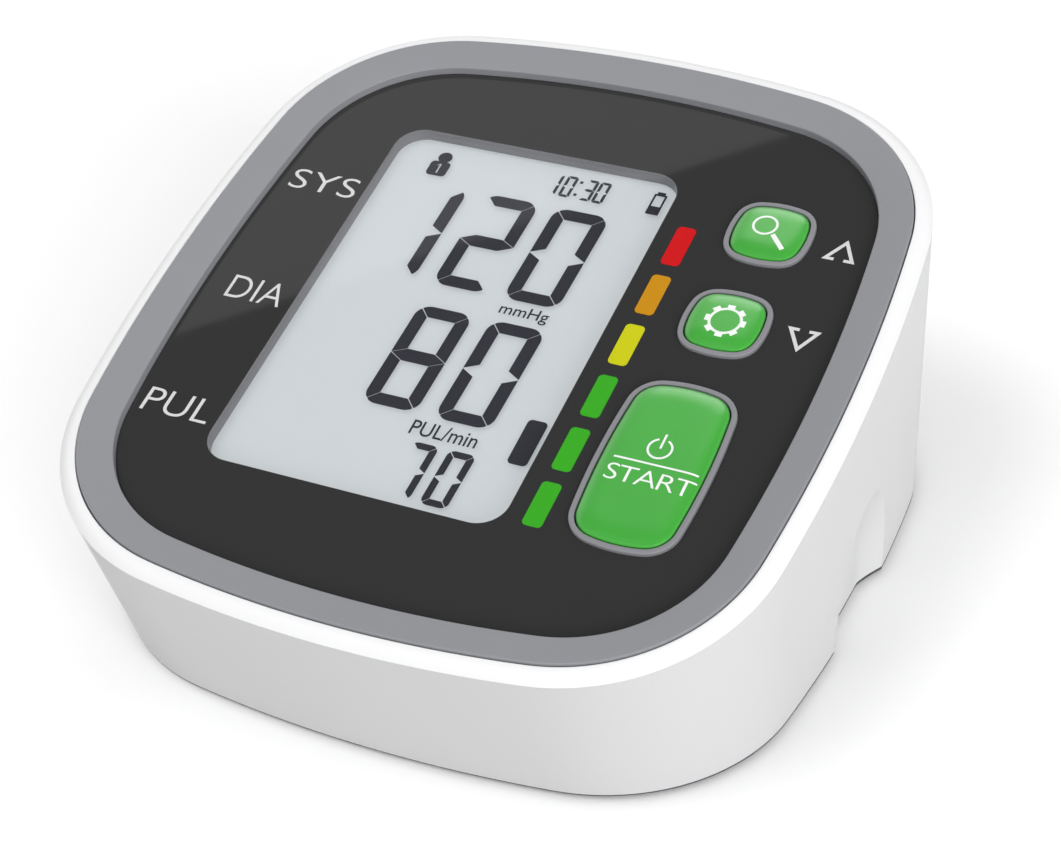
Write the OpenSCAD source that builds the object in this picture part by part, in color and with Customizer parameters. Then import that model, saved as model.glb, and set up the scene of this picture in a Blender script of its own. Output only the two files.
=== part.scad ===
// Desktop control unit of an upper-arm blood pressure monitor.
// Millimetres, +Z up, front towards -Y, the rest surface at Z = 0.
// The sloping face has its own frame: X across, Y up the slope, Z straight out of the panel.

/* [Casing outline] */
// Half of the width over the rim of the sloping face
rim_half_w = 64.3; // [60:0.1:70]
// Half of the length over the rim, along the slope
rim_half_l = 68.1; // [64:0.1:74]
// Radius of the rim's corners
rim_corner_r = 34.7; // [28:0.1:38]
// Half of the width at the lower edge
base_half_w = 61.7; // [60:0.1:66]
// Half of the length at the lower edge
base_half_l = 63; // [60:0.1:66]
// Radius of the lower edge's corners
base_corner_r = 32.6; // [28:0.1:36]
// Radius of the gentle curve of both long sides
side_bulge_r = 329; // [240:1:500]
// Radius of the gentle curve of the front and rear ends
end_bulge_r = 221; // [180:1:400]
// How far the lower edge's middle lies behind the face's middle
base_setback = 7.4; // [5:0.1:9]
// Tilt of the face towards the user
face_tilt = 15.3; // [14:0.1:17]
// Height of the face's middle above the rest surface
face_height = 47.5; // [46.5:0.1:52]
// Wall thickness of the upper case
wall_t = 2.2; // [1.8:0.1:2.6]
// Height of the casing's lower edge above the rest surface
case_lift = 0.8; // [0.6:0.1:1.2]

/* [Rim and trim ring] */
// Width of the white band round the trim ring
rim_band_w = 2.9; // [2.4:0.1:3.5]
// Height of the band's inner edge above the panel
rim_top = 2.4; // [2:0.1:2.8]
// Height of the wall's upper edge above the panel
rim_edge = 1.1; // [0.8:0.1:1.5]
// Width of the trim ring
ring_w = 6; // [5:0.1:7]
// Height of the ring's outer edge above the panel
ring_top = 2.8; // [2.4:0.1:3.2]
// Height of the ring's inner edge above the panel
ring_low = 1.4; // [1:0.1:1.8]
// Radius broken off the ring's two upper edges
ring_edge_r = 0.3; // [0.2:0.05:0.5]

/* [Grip scoops] */
// Half of the width of each side scoop
scoop_half_w = 12.2; // [9:0.1:14]
// Height of each scoop
scoop_h = 24.4; // [18:0.2:27]
// Depth of each scoop at its foot
scoop_d = 2.7; // [1.5:0.1:3]

/* [Face panel] */
// Thickness of the black panel
panel_t = 2.3; // [1.8:0.1:3]
// Thickness of the deck that carries the panel
deck_t = 2; // [1.6:0.1:2.6]
// Width of the display window
window_w = 54.2; // [50:0.1:56]
// Length of the display window
window_l = 80; // [74:0.5:84]
// Sideways place of the window's middle
window_x = -10.2; // [-11:0.1:-9]
// Place of the window's middle up the slope
window_y = 0.8; // [0:0.1:1.2]
// Corner radius of the window
window_r = 5; // [3:0.1:7]
// Thickness of the clear lens
lens_t = 1.2; // [0.8:0.1:1.8]

/* [Keys] */
// Half of the width of the two small keys' bezels
small_half_w = 7.55; // [7:0.05:8]
// Half of the length of the two small keys' bezels
small_half_l = 7.25; // [6.5:0.05:7.8]
// Half of the width of the start key's bezel
start_half_w = 9.75; // [9:0.05:10.2]
// Half of the length of the start key's bezel
start_half_l = 17.5; // [15:0.1:18.5]
// Sideways place of the key column
key_x = 36.2; // [35.5:0.1:36.8]
// Place of the memory key up the slope
memory_y = 31; // [30:0.1:32]
// Place of the settings key up the slope
settings_y = 10; // [9:0.1:11]
// Place of the start key up the slope
start_y = -21.3; // [-23:0.1:-20]
// Width of the bezels' frame
bezel_w = 0.95; // [0.8:0.05:1.3]
// Height of the bezels above the panel
bezel_h = 0.75; // [0.6:0.05:1.5]
// Height of the keys' crown above the panel
key_h = 1.5; // [1.2:0.1:2.6]
// Gap round each key
key_gap = 0.25; // [0.2:0.05:0.35]
// Travel of each key
key_travel = 0.5; // [0.3:0.05:0.8]
// Thickness of the flange that keeps each key in
flange_t = 0.8; // [0.6:0.1:1.2]
// How far the flange reaches past the key
flange_w = 0.9; // [0.6:0.1:1.1]

/* [Colour scale] */
// Width of each colour bar
bar_w = 3.4; // [2.5:0.1:4]
// Length of each colour bar
bar_l = 9; // [7:0.1:10]
// Distance from bar to bar
bar_pitch = 11.6; // [11:0.1:12]
// Sideways place of the bars
bar_x = 21.8; // [21:0.1:22.5]
// Place of the uppermost bar up the slope
bar_y = 25.3; // [24:0.1:27]
// Corner radius of the bars
bar_r = 0.8; // [0.3:0.1:1]

/* [Display] */
// Height of the two rows of large digits
digit_l = 22.4; // [18:0.1:23]
// Width of a large digit
digit_w = 10; // [8:0.1:10.6]
// Thickness of a large segment
segment_w = 2.25; // [1.6:0.05:2.6]
// Height of the small pulse digits
pulse_l = 11.5; // [9:0.1:12]
// Width of a small pulse digit
pulse_w = 4.75; // [4:0.05:5]
// Thickness of a pulse segment
pulse_segment_w = 1.25; // [0.8:0.05:1.5]
// Height of the clock's digits
clock_l = 5.2; // [4:0.1:6]
// Width of a clock digit
clock_w = 2.1; // [1.6:0.05:2.3]
// Thickness of a clock segment
clock_segment_w = 0.6; // [0.4:0.05:0.8]
// Thickness of the display glass
glass_t = 2.8; // [2.2:0.1:3.2]

/* [Boards] */
// Half of the main board's width
board_half_w = 43; // [41:0.5:43.5]
// Half of the main board's length
board_half_l = 51.5; // [50:0.5:52]
// Thickness of both boards
board_t = 1.6; // [1:0.1:2]
// Height of the key switches
switch_h = 2; // [1.8:0.1:2.6]
// Radius of a key switch's plunger
plunger_r = 1.7; // [1.2:0.05:2]

/* [Batteries] */
// Diameter of a cell
cell_d = 14.5; // [13.5:0.1:14.5]
// Length of a cell over its nub
cell_l = 50.5; // [49:0.1:51]
// Room for a contact spring
spring_room = 5; // [4:0.1:6]
// Thickness of the bottom case and the door
floor_t = 2; // [1.6:0.1:2.4]
// Wall thickness of the battery bay
bay_wall = 1.5; // [1.2:0.1:2]
// Radius of the door's hinge pins
hinge_pin_r = 1.1; // [0.8:0.05:1.2]
// Length of each hinge pin
hinge_pin_l = 3; // [2:0.1:4]

/* [Air system] */
// Radius of the pump motor
motor_r = 12; // [10:0.1:12]
// Length of the pump motor
motor_l = 31; // [26:0.5:34]
// Side of the square pump housing
pump_side = 27; // [25:0.5:27]
// Inner radius of the hose socket
socket_bore_r = 2.5; // [2:0.05:3]
// Depth of the hose socket
socket_depth = 10; // [8:0.5:12]
// Outer radius of the air tubes
tube_r = 2.4; // [2.2:0.1:2.8]
// Travel of the release valve's plunger
valve_travel = 0.8; // [0.4:0.1:1]
// Radius of the release valve's plunger
valve_plunger_r = 2; // [1.5:0.05:2.2]

/* [Fasteners and feet] */
// Radius of a rubber foot
foot_r = 4; // [3:0.1:5]
// Radius of a case screw's shank
screw_r = 1.3; // [1:0.05:1.5]
// Radius of the bosses for the case screws
boss_r = 3.5; // [3:0.1:3.8]

/* [Hidden] */
$fn = 48;
// Running clearance, clearance of fixed pieces, and gap of moving covers
run_gap = 0.05;
fixed_gap = 0.1;
door_gap = 0.3;
// A cut runs this far past the face that it opens
cut = 1;

// Points on each quarter of an outline: side arc, corner arc, end arc
case_counts = [14, 8, 8];
key_counts = [3, 6, 3];

// Outlines are [half width, half length, side radius, end radius, corner radius]
rim_shape = [rim_half_w, rim_half_l, side_bulge_r, end_bulge_r, rim_corner_r];
base_shape = [base_half_w, base_half_l, side_bulge_r, end_bulge_r, base_corner_r];
small_shape = [small_half_w, small_half_l, 17, 17, 4.7];
start_shape = [start_half_w, start_half_l, 130, 24, 6];

// The whole object's box is centred on the origin
face_y = (rim_half_l * cos(face_tilt) + rim_edge * sin(face_tilt) - base_setback - base_half_l) / 2;
base_y = face_y + base_setback;
case_low = case_lift;

// Heights along the panel's own normal, zero at the panel's surface
flange_gap = 0.15;
press_gap = 0.2;
plunger_dip = 0.6;
deck_top = -panel_t;
deck_under = deck_top - deck_t;
deck_mid = deck_top - deck_t / 2;
lcd_top = deck_top - run_gap;
flange_top = deck_under - flange_gap;
flange_low = flange_top - flange_t;
switch_top = flange_low - key_travel - press_gap;
plunger_low = switch_top - plunger_dip;
board_top = switch_top - switch_h;
board_under = board_top - board_t;
glass_low = lcd_top - glass_t;
lens_top = -fixed_gap;
lens_low = lens_top - lens_t;

// Keys, bezels and switches
bezel_edge = 0.3;
bezel_step = 0.4;
switch_floor = 0.3;
switch_side = 6.2;
switch_edge_r = 0.4;

// The crown's profile: how far in from the key's edge, and the share of its rise
crown_profile = [[0, 0], [0.35, 0.5], [1.1, 0.8], [2.6, 0.96], [4, 1]];
crown_corner_r = 0.6;

// Grip scoop: the place of its middle at the foot, how far it leans forward with height, the
// fullness of its arch, the share of its reach that its flat floor takes, and its flank's curve
scoop_mid = -0.6;
scoop_lean = 0.04;
scoop_fullness = 2.4;
scoop_floor = 0.5;
scoop_flank = 1.3;

// The rim band's profile: how far in from the edge, and the share of its rise
band_profile = [[0.6, 0.4], [1.4, 0.76], [rim_band_w, 1]];

// Display parts
glass_w = window_w + 5.8;
glass_l = window_l + 8;
glass_edge_r = 0.5;
frame_wall = 2;
frame_edge_r = 1;
frame_drop = 0.2;
frame_w = glass_w + 2 * (frame_wall + fixed_gap);
frame_l = glass_l + 2 * (frame_wall + fixed_gap);
deck_window_w = frame_w + door_gap;
deck_window_l = frame_l + door_gap;
zebra_w = 2.4;
zebra_l = glass_w - 6;
segment_t = 0.08;
segment_gap = 0.16;
digit_right = window_x + 16.6;
digit_pitch = digit_w + 3.4;
high_row_y = window_y + 18.7;
low_row_y = window_y - 9;
pulse_row_y = window_y - 31.6;
pulse_pitch = pulse_w + 1.25;
clock_row_y = window_y + 35.2;
clock_right = window_x + 14.1;
clock_pitch = clock_w + 0.4;
hours_right = clock_right - 2 * clock_pitch - 1.2;
colon_x = hours_right + 0.7;
marker = [3.5, 9.4];
marker_at = [window_x + 23.6, window_y - 20.9];

// Battery bay and door
floor_top = case_low + floor_t;
cell_r = cell_d / 2;
cell_pitch = cell_d + 0.5;
cell_z = floor_top + door_gap + cell_r;
bay_half_w = 2 * cell_pitch + 0.6;
bay_front = base_y - base_half_l + 10.5;
bay_rear = bay_front + cell_l + spring_room + 1.5;
bay_top = cell_z + cell_r + 0.4;
bay_foot = floor_top + door_gap;
knuckle_r = 1.8;
hinge_z = case_low + knuckle_r;
hinge_y = bay_rear + bay_wall + door_gap + knuckle_r;
door_half_w = bay_half_w + bay_wall + 0.2;
door_front = bay_front - bay_wall - 2;
pin_end = door_half_w + hinge_pin_l;
ear_w = hinge_pin_l + 1.7;
ear_half_l = 3;
ear_h = 4.6;
notch_r = 14;
notch_w = 22;
notch_d = 0.8;
contact_t = 0.4;
contact_side = 10;
nub_l = 1.1;
nub_r = 2.7;
nub_gap = 0.6;
spring_wire_r = 0.4;
spring_low_r = 4.2;
spring_high_r = 2.4;
spring_turns = 3;

// Air system, the pump's axis along X
pump_y = hinge_y + knuckle_r + 2 + pump_side / 2;
pump_z = floor_top + 1.6 + pump_side / 2;
motor_x = 40 - motor_l;
housing_l = 12;
head_l = 10;
housing_x = motor_x - housing_l;
head_x = housing_x - head_l;
shaft_r = 1;
can_t = 0.8;
cap_t = 2;
cap_plug = 3;
tab = [3, 2.4, 0.6];
tab_y = 6;
magnet_t = 1.7;
magnet_slot = 3;
magnet_x = motor_x + 4;
magnet_end = motor_x + motor_l - 8;
air_gap = 0.5;
rotor_r = motor_r - can_t - magnet_t - air_gap;
rotor_x = magnet_x + 2;
rotor_end = magnet_end - 2;
slot_share = 0.6;
slot_r = rotor_r * 0.27;
slot_mouth = 1.6;
brush_r = 2.6;
brush_x = magnet_end - 1;
crank_off = 1.5;
crank_r = 4;
crank_pin_r = 0.9;
crank_pin_l = 2.6;
hub_x = housing_x + 5.6;
hub_skin = 0.4;
housing_r = 10.5;
housing_wall = 1;
housing_mouth_r = 8;
disc_t = 1.2;
disc_r = 7.5;
rocker_hub_r = 3.8;
rocker_l = 3.4;
sheet_t = 1;
head_wall = 3;
sheet_edge = 0.5;
pump_port_r = 6;
nipple_r = 1.6;
nipple_l = 5;
tube_bore_r = nipple_r;
tube_end_gap = 0.2;
air_way_r = 0.8;
manifold_side = 8;
manifold_x = head_x - nipple_l - 1 - nipple_l - manifold_side / 2;
socket_x = 0.2 - wall_x(pump_y, pump_z);
socket_body_r = 5;
socket_boss_r = 8;
socket_boss_l = 3;
socket_flange_r = 7;
socket_flange_t = 1.4;
socket_in_x = socket_x + socket_flange_t + socket_depth + 3;

cradle_x = motor_x + 2;
cradle_end = motor_x + motor_l - cap_t - 1;
cradle_drop = 5;
post_h = 1;
post_r = 1.8;
post_in = 3;

// Release valve, upright behind the manifold
valve_y = pump_y + pump_side / 2 + 8.5;
valve_side = 13;
coil_h = 8;
coil_r = 5;
valve_low = floor_top;
valve_plate_t = 1.2;
coil_low = valve_low + valve_plate_t;
coil_top = coil_low + coil_h;
valve_spring_l = 2.6;
valve_wire_r = 0.2;
valve_spring_r = valve_plunger_r + 0.5;
valve_turns = 4;
valve_head_low = coil_top + valve_spring_l;
valve_head_t = 0.9;
valve_head_r = valve_plunger_r + 1.4;
valve_seal_t = 0.7;
valve_seal_r = 2;
valve_stop = 0.2;
valve_tail_low = coil_low + 2 * valve_stop + valve_travel;
valve_side_t = 1;
valve_nozzle_low = valve_head_low + valve_head_t + valve_seal_t + fixed_gap;
valve_nozzle_r = 1.5;
valve_block_low = valve_nozzle_low + 0.4;
valve_block_h = 6;
valve_port_z = valve_block_low + valve_block_h / 2;
manifold_low = pump_z - manifold_side / 2;
manifold_top = max(pump_z, valve_port_z) + manifold_side / 2;

// Pressure sensor on the board, right over the manifold
sensor = [8, 8, 4];
bend_r = 16;
bend_steps = 4;
tube_sides = 16;
sensor_tip = board_under - sensor[2] - nipple_l;
sensor_v = (pump_y - bend_r * (1 - cos(face_tilt)) - face_y + sensor_tip * sin(face_tilt)) / cos(face_tilt);
sensor_tip_z = face_height + sensor_v * sin(face_tilt) + sensor_tip * cos(face_tilt);
sensor_bend_z = sensor_tip_z - bend_r * sin(face_tilt);

// Power jack at the rear
jack = [9, 13, 10.5];
jack_x = 20;
jack_post_h = 4;
jack_post_r = 2;
jack_post_x = 6;
jack_board_z = floor_top + jack_post_h;
jack_z = jack_board_z + board_t + jack[2] / 2;
jack_nose_r = 4;
jack_bore_r = 2.85;
jack_bore_l = 9.5;
jack_pin_r = 1.05;
jack_board = [22, 13];
jack_face_y = wall_rear_y(jack_x, jack_z) - 0.3;
jack_body_y = jack_face_y - wall_t - 0.8;

// Screws and feet, both as offsets from the base's middle
front_screw = [base_half_w - 11.7, 29 - base_half_l];
rear_screw = [base_half_w - 11.7, base_half_l - 27];
foot_at = [base_half_w - 21.7, base_half_l - 13];
foot_sink = 1;
screw_head_r = 2.6;
screw_head_t = 1;
screw_slot_d = 0.6;
screw_slot = [2.6, 0.7];
screw_l = 10;
tongue_h = 2.5;
tongue_t = 1.2;
plate_gap = 0.25;
board_head_r = 2;
board_head_t = 1.2;
board_screw_r = 1;
board_screw_l = board_t + 3;
board_boss_r = 2.2;
board_edge_r = 4;

// Each chip is [x, y, width, length, height]; they stay clear of the sensor
chips = [[0, 4, 10, 10, 1.5], [16, 6, 5, 4, 1.4], [-14, -8, 6.5, 3.6, 1.6], [22, -24, 6.5, 3.6, 1.6]];
chip_edge_r = 0.2;
buzzer_at = [8, -20];
buzzer_r = 6;
buzzer_h = 4;
buzzer_hole_r = 0.9;
buzzer_low = board_under - buzzer_h;
board_screw_at = [[4 - board_half_w, 2.9 - board_half_l], [board_half_w - 4, 5.5 - board_half_l],
                  [board_half_w - 4, board_half_l - 7], [4 - board_half_w, board_half_l - 1.9]];

// ---------------------------------------------------------------- functions

// A smaller outline at a constant distance inside another
function inset(shape, d) = [for (s = shape) s - d];

function lerp(p, q, k) = p + (q - p) * k;

function clamp01(x) = min(1, max(0, x));

// Centre of the corner arc that runs smoothly into the side arc and the end arc
function corner_centre(s) =
    let (side = [s[0] - s[2], 0], end = [0, s[1] - s[3]])
    let (to_side = s[2] - s[4], to_end = s[3] - s[4])
    let (gap = norm(end - side), u = (end - side) / gap)
    let (t = (to_side * to_side - to_end * to_end + gap * gap) / (2 * gap))
    side + u * t + [-u[1], u[0]] * sqrt(to_side * to_side - t * t);

function arc_points(centre, r, from, to, n) =
    [for (i = [0 : n - 1]) centre + r * [cos(from + (to - from) * i / n), sin(from + (to - from) * i / n)]];

// One quarter, from the middle of the right side to the middle of the rear end
function quarter(s, n) =
    let (c = corner_centre(s), side = [s[0] - s[2], 0], end = [0, s[1] - s[3]])
    let (a1 = atan2(c[1] - side[1], c[0] - side[0]), a2 = atan2(c[1] - end[1], c[0] - end[0]))
    concat(arc_points(side, s[2], 0, a1, n[0]), arc_points(c, s[4], a1, a2, n[1]),
           arc_points(end, s[3], a2, 90, n[2]), [[0, s[1]]]);

// The whole outline, counter-clockwise from the middle of the right side
function outline(s, n) =
    let (q = quarter(s, n), m = len(q) - 1)
    concat([for (i = [0 : m - 1]) q[i]], [for (i = [m : -1 : 1]) [-q[i][0], q[i][1]]],
           [for (i = [0 : m - 1]) -q[i]], [for (i = [m : -1 : 1]) [q[i][0], -q[i][1]]]);

// From the face's frame to the object's frame
function from_face(p) =
    [p[0], face_y + p[1] * cos(face_tilt) - p[2] * sin(face_tilt),
     face_height + p[1] * sin(face_tilt) + p[2] * cos(face_tilt)];

// Height of a point over the panel's plane
function face_h(p) = (p[2] - face_height) * cos(face_tilt) - (p[1] - face_y) * sin(face_tilt);

// How far a gently bulging side has fallen back at a distance t from its middle
function bulge_drop(r, t) = r - sqrt(r * r - t * t);

// Place of the right wall's outer surface at a given Y and Z
function wall_x(y, z) =
    let (v = (y - face_y) / cos(face_tilt), top = face_height + v * sin(face_tilt) + rim_edge)
    lerp(base_half_w - bulge_drop(side_bulge_r, y - base_y), rim_half_w - bulge_drop(side_bulge_r, v),
         (z - case_low) / (top - case_low));

// Place of the rear wall's outer surface at a given X and Z
function wall_rear_y(x, z) =
    let (v = rim_half_l - bulge_drop(end_bulge_r, x), top = from_face([x, v, rim_edge]))
    lerp(base_y + base_half_l - bulge_drop(end_bulge_r, x), top[1], (z - case_low) / (top[2] - case_low));

// Depth of the grip scoop at a point of the wall: an upright arch with a flat floor
function scoop_depth(p) =
    let (y = p[1] - base_y, z = p[2] - case_low)
    let (a = abs(y + scoop_lean * z - scoop_mid) / scoop_half_w, b = max(0, z) / scoop_h)
    let (r = pow(pow(a, scoop_fullness) + pow(b, scoop_fullness), 1 / scoop_fullness))
    let (flank = max(0, r - scoop_floor) / (1 - scoop_floor))
    abs(p[0]) > rim_half_w / 2 && r < 1 ? scoop_d * (1 - pow(flank, scoop_flank)) : 0;

function scooped(p) = [p[0] - sign(p[0]) * scoop_depth(p), p[1], p[2]];

// The wall is ruled from the lower edge to the rim; foot and head are its two ends
function wall_foot(d) =
    [for (p = outline(inset(base_shape, d), case_counts)) [p[0], base_y + p[1], case_low]];
function wall_head(d) = face_ring(rim_shape, case_counts, d, rim_edge);
function wall_ring(d, k) =
    let (foot = wall_foot(d), head = wall_head(d))
    [for (i = [0 : len(foot) - 1]) scooped(lerp(foot[i], head[i], k))];

// The outline of the casing's floor, set in from the wall's outer surface
function floor_outline(d) = [for (p = wall_ring(d, 0)) [p[0], p[1]]];

// The inner wall ends at the deck's underside, k = 1 there
function inner_ring(d, k) =
    let (foot = wall_foot(d), head = wall_head(d))
    [for (i = [0 : len(foot) - 1])
        let (low = face_h(foot[i]), high = face_h(head[i]))
        scooped(lerp(foot[i], head[i], k * (deck_under - low) / (high - low)))];

// A ring on the face's frame
function face_ring(shape, n, d, h) = [for (p = outline(inset(shape, d), n)) from_face([p[0], p[1], h])];

// Rings close together where the scoop is, wider apart above it
function wall_levels() =
    let (scoop_share = 0.54, fine = 12, coarse = 3)
    concat([for (i = [0 : fine]) scoop_share * i / fine],
           [for (i = [1 : coarse]) scoop_share + (1 - scoop_share) * i / coarse]);

// Triangles between ring a and ring b of n points each
function band_faces(a, b, n) =
    [for (i = [0 : n - 1])
        let (j = (i + 1) % n)
        each [[a * n + i, b * n + i, b * n + j], [a * n + i, b * n + j, a * n + j]]];

// A ring of points square to a path at its point i
function side_of(t) = let (s = cross(t, abs(t[2]) < 0.9 ? [0, 0, 1] : [1, 0, 0])) s / norm(s);
function tube_ring(path, i, r, sides) =
    let (ahead = path[min(i + 1, len(path) - 1)] - path[max(i - 1, 0)], t = ahead / norm(ahead))
    let (s = side_of(t), u = cross(t, s))
    [for (k = [0 : sides - 1]) path[i] + r * (s * cos(360 * k / sides) + u * sin(360 * k / sides))];

// ---------------------------------------------------------------- modules

// A solid through a list of rings, closed by a flat cap at each end
module ring_stack(rings) {
    n = len(rings[0]);
    last = len(rings) - 1;
    polyhedron(
        points = [for (r = rings) each r],
        faces = concat([[for (i = [0 : n - 1]) i]],
                       [for (r = [0 : last - 1]) each band_faces(r, r + 1, n)],
                       [[for (i = [n - 1 : -1 : 0]) last * n + i]]),
        convexity = 6);
}

// A closed hoop through a list of rings, the last joined to the first
module ring_hoop(rings) {
    n = len(rings[0]);
    m = len(rings);
    polyhedron(
        points = [for (r = rings) each r],
        faces = [for (r = [0 : m - 1]) each band_faces(r, (r + 1) % m, n)],
        convexity = 6);
}

// A solid wire along a list of points
module wire(path, r, sides = 6) {
    ring_stack([for (i = [0 : len(path) - 1]) tube_ring(path, i, r, sides)]);
}

// Points of an upright coil spring that may narrow towards its top
function coil_path(r_low, r_high, pitch_l, turns, steps = 16) =
    [for (i = [0 : turns * steps])
        let (k = i / (turns * steps))
        let (r = r_low + (r_high - r_low) * k)
        [r * cos(360 * i / steps), r * sin(360 * i / steps), pitch_l * k]];

module on_face() {
    translate([0, face_y, face_height]) rotate([face_tilt, 0, 0]) children();
}

// A flat plate of a given outline on the face's frame, from low to high
module face_plate(shape, n, low, high) {
    on_face() translate([0, 0, low]) linear_extrude(high - low) polygon(outline(shape, n));
}

// A straight block with rounded upright edges, centred on its place
module rounded_bar(w, l, r, low, high) {
    translate([0, 0, low]) linear_extrude(high - low) union() {
        square([w - 2 * r, l], center = true);
        square([w, l - 2 * r], center = true);
        for (x = [-1, 1], y = [-1, 1]) translate([x * (w / 2 - r), y * (l / 2 - r)]) circle(r);
    }
}

module box_between(low, high) {
    translate(low) cube(high - low);
}

// A cylinder along X, from one X to another
module rod_x(x1, x2, r) {
    translate([x1, 0, 0]) rotate([0, 90, 0]) cylinder(r = r, h = x2 - x1);
}

module rod_y(y1, y2, r) {
    translate([0, y1, 0]) rotate([-90, 0, 0]) cylinder(r = r, h = y2 - y1);
}

// Places of the screws and feet
module at_screws() {
    for (x = [-1, 1], s = [front_screw, rear_screw]) translate([x * s[0], base_y + s[1], 0]) children();
}

module at_feet() {
    for (x = [-1, 1], y = [-1, 1]) translate([x * foot_at[0], base_y + y * foot_at[1], 0]) children();
}

module at_board_screws() {
    on_face() for (p = board_screw_at) translate([p[0], p[1], 0]) children();
}

module at_window() {
    on_face() translate([window_x, window_y, 0]) children();
}

module at_jack() {
    translate([jack_x, 0, jack_z]) children();
}

module at_hinge() {
    translate([0, hinge_y, hinge_z]) children();
}

module at_pump() {
    translate([0, pump_y, pump_z]) children();
}

module at_key(y) {
    on_face() translate([key_x, y, 0]) children();
}

// ---------------------------------------------------------------- casing

// Shell with sloping walls, the rim and the deck under the panel
module case_shell() {
    levels = wall_levels();
    inner = [for (k = [len(levels) - 1 : -1 : 0]) inner_ring(wall_t, levels[k])];
    outer = [for (k = levels) wall_ring(0, k)];
    band = [for (e = band_profile)
        face_ring(rim_shape, case_counts, e[0], rim_edge + (rim_top - rim_edge) * e[1])];
    groove = face_ring(rim_shape, case_counts, rim_band_w + fixed_gap, deck_top);
    ring_stack(concat(inner, outer, band, [groove]));
}

module upper_case() color("white") {
    difference() {
        union() {
            case_shell();
            screw_bosses();
            at_board_screws() translate([0, 0, board_top])
                cylinder(r = board_boss_r, h = deck_mid - board_top);
            at_pump() rod_x(socket_x + socket_flange_t, socket_x + wall_t + socket_boss_l, socket_boss_r);
        }
        at_window() rounded_bar(deck_window_w, deck_window_l, frame_edge_r, deck_under - cut, deck_top + cut);
        key_cut(small_shape, memory_y);
        key_cut(small_shape, settings_y);
        key_cut(start_shape, start_y);
        at_board_screws() translate([0, 0, board_top - cut])
            cylinder(r = board_screw_r + run_gap, h = deck_under - board_top + cut);
        at_screws() translate([0, 0, floor_top]) cylinder(r = screw_r + run_gap, h = screw_l + screw_head_t);
        at_pump() rod_x(socket_x - wall_t, socket_x + socket_flange_t, socket_flange_r + fixed_gap);
        at_pump() rod_x(socket_x, socket_x + wall_t + socket_boss_l + cut, socket_body_r + fixed_gap);
        at_jack() rod_y(jack_face_y - wall_t - cut, jack_face_y + wall_t, jack_nose_r + fixed_gap);
    }
}

// Upright bosses, cut off at the deck
module screw_bosses() {
    intersection() {
        at_screws() translate([0, 0, floor_top + run_gap]) cylinder(r = boss_r, h = 2 * face_height);
        on_face() translate([0, 0, deck_mid - face_height])
            cube([2 * rim_half_w, 2 * rim_half_l, 2 * face_height], center = true);
    }
}

module key_cut(shape, y) {
    at_key(y) translate([0, 0, deck_under - cut]) linear_extrude(deck_t + 2 * cut)
        polygon(outline(inset(shape, bezel_w), key_counts));
}

// Floor of the casing with the battery bay, bosses and hinge ears
module bottom_case() color("whitesmoke") {
    difference() {
        union() {
            translate([0, 0, case_low]) linear_extrude(floor_t) polygon(floor_outline(wall_t + plate_gap));
            translate([0, 0, case_low]) linear_extrude(floor_t + tongue_h) difference() {
                polygon(floor_outline(wall_t + tongue_t));
                polygon(floor_outline(wall_t + 2 * tongue_t));
            }
            box_between([-bay_half_w - bay_wall, bay_front - bay_wall, bay_foot],
                        [bay_half_w + bay_wall, bay_rear + bay_wall, bay_top + bay_wall]);
            hinge_ears();
            bay_skirt();
            pump_cradle_posts();
            for (x = [-1, 1]) translate([jack_x + x * jack_post_x, jack_body_y - jack[1] / 2, case_low])
                cylinder(r = jack_post_r, h = floor_t + jack_post_h);
        }
        box_between([-bay_half_w, bay_front, case_low - cut], [bay_half_w, bay_rear, bay_top]);
        box_between([-door_half_w - door_gap, door_front - door_gap, case_low - cut],
                    [door_half_w + door_gap, hinge_y + knuckle_r + door_gap, bay_foot]);
        at_hinge() rod_x(-door_half_w - door_gap, door_half_w + door_gap, knuckle_r + door_gap);
        at_hinge() rod_x(-pin_end - door_gap, pin_end + door_gap, hinge_pin_r + run_gap);
        at_screws() {
            translate([0, 0, case_low - cut]) cylinder(r = screw_head_r + fixed_gap, h = cut + screw_head_t);
            translate([0, 0, case_low]) cylinder(r = screw_r + fixed_gap, h = floor_t + cut);
        }
        at_feet() translate([0, 0, case_low - cut]) cylinder(r = foot_r + fixed_gap, h = cut + foot_sink);
    }
}

// Blocks beside the door that hold its hinge pins
module hinge_ears() {
    for (x = [-1, 1]) {
        low_x = x > 0 ? door_half_w + door_gap : -door_half_w - door_gap - ear_w;
        box_between([low_x, hinge_y - ear_half_l, case_low],
                    [low_x + ear_w, hinge_y + ear_half_l, case_low + ear_h]);
    }
}

// Wall round the door opening that joins the bay to the floor plate
module bay_skirt() {
    difference() {
        box_between([-door_half_w - door_gap - bay_wall, door_front - door_gap - bay_wall, case_low],
                    [door_half_w + door_gap + bay_wall, bay_rear + bay_wall, bay_foot + bay_wall]);
        box_between([-bay_half_w - bay_wall / 2, bay_front - bay_wall / 2, case_low - cut],
                    [bay_half_w + bay_wall / 2, bay_rear + bay_wall + cut, bay_foot + bay_wall + cut]);
    }
}

// Posts that carry the pump's rubber cradle
module pump_cradle_posts() {
    for (x = [cradle_x + post_in, cradle_end - post_in], y = [-1, 1])
        translate([x, pump_y + y * (motor_r - post_in), case_low])
            cylinder(r = post_r, h = floor_t + post_h);
}

module battery_door() color("whitesmoke") {
    difference() {
        union() {
            box_between([-door_half_w, door_front, case_low], [door_half_w, hinge_y, floor_top]);
            at_hinge() rod_x(-door_half_w, door_half_w, knuckle_r);
            at_hinge() rod_x(-pin_end, pin_end, hinge_pin_r);
        }
        translate([0, door_front + notch_r / 2, case_low + notch_d - notch_r])
            rod_x(-notch_w / 2, notch_w / 2, notch_r);
    }
}

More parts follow.
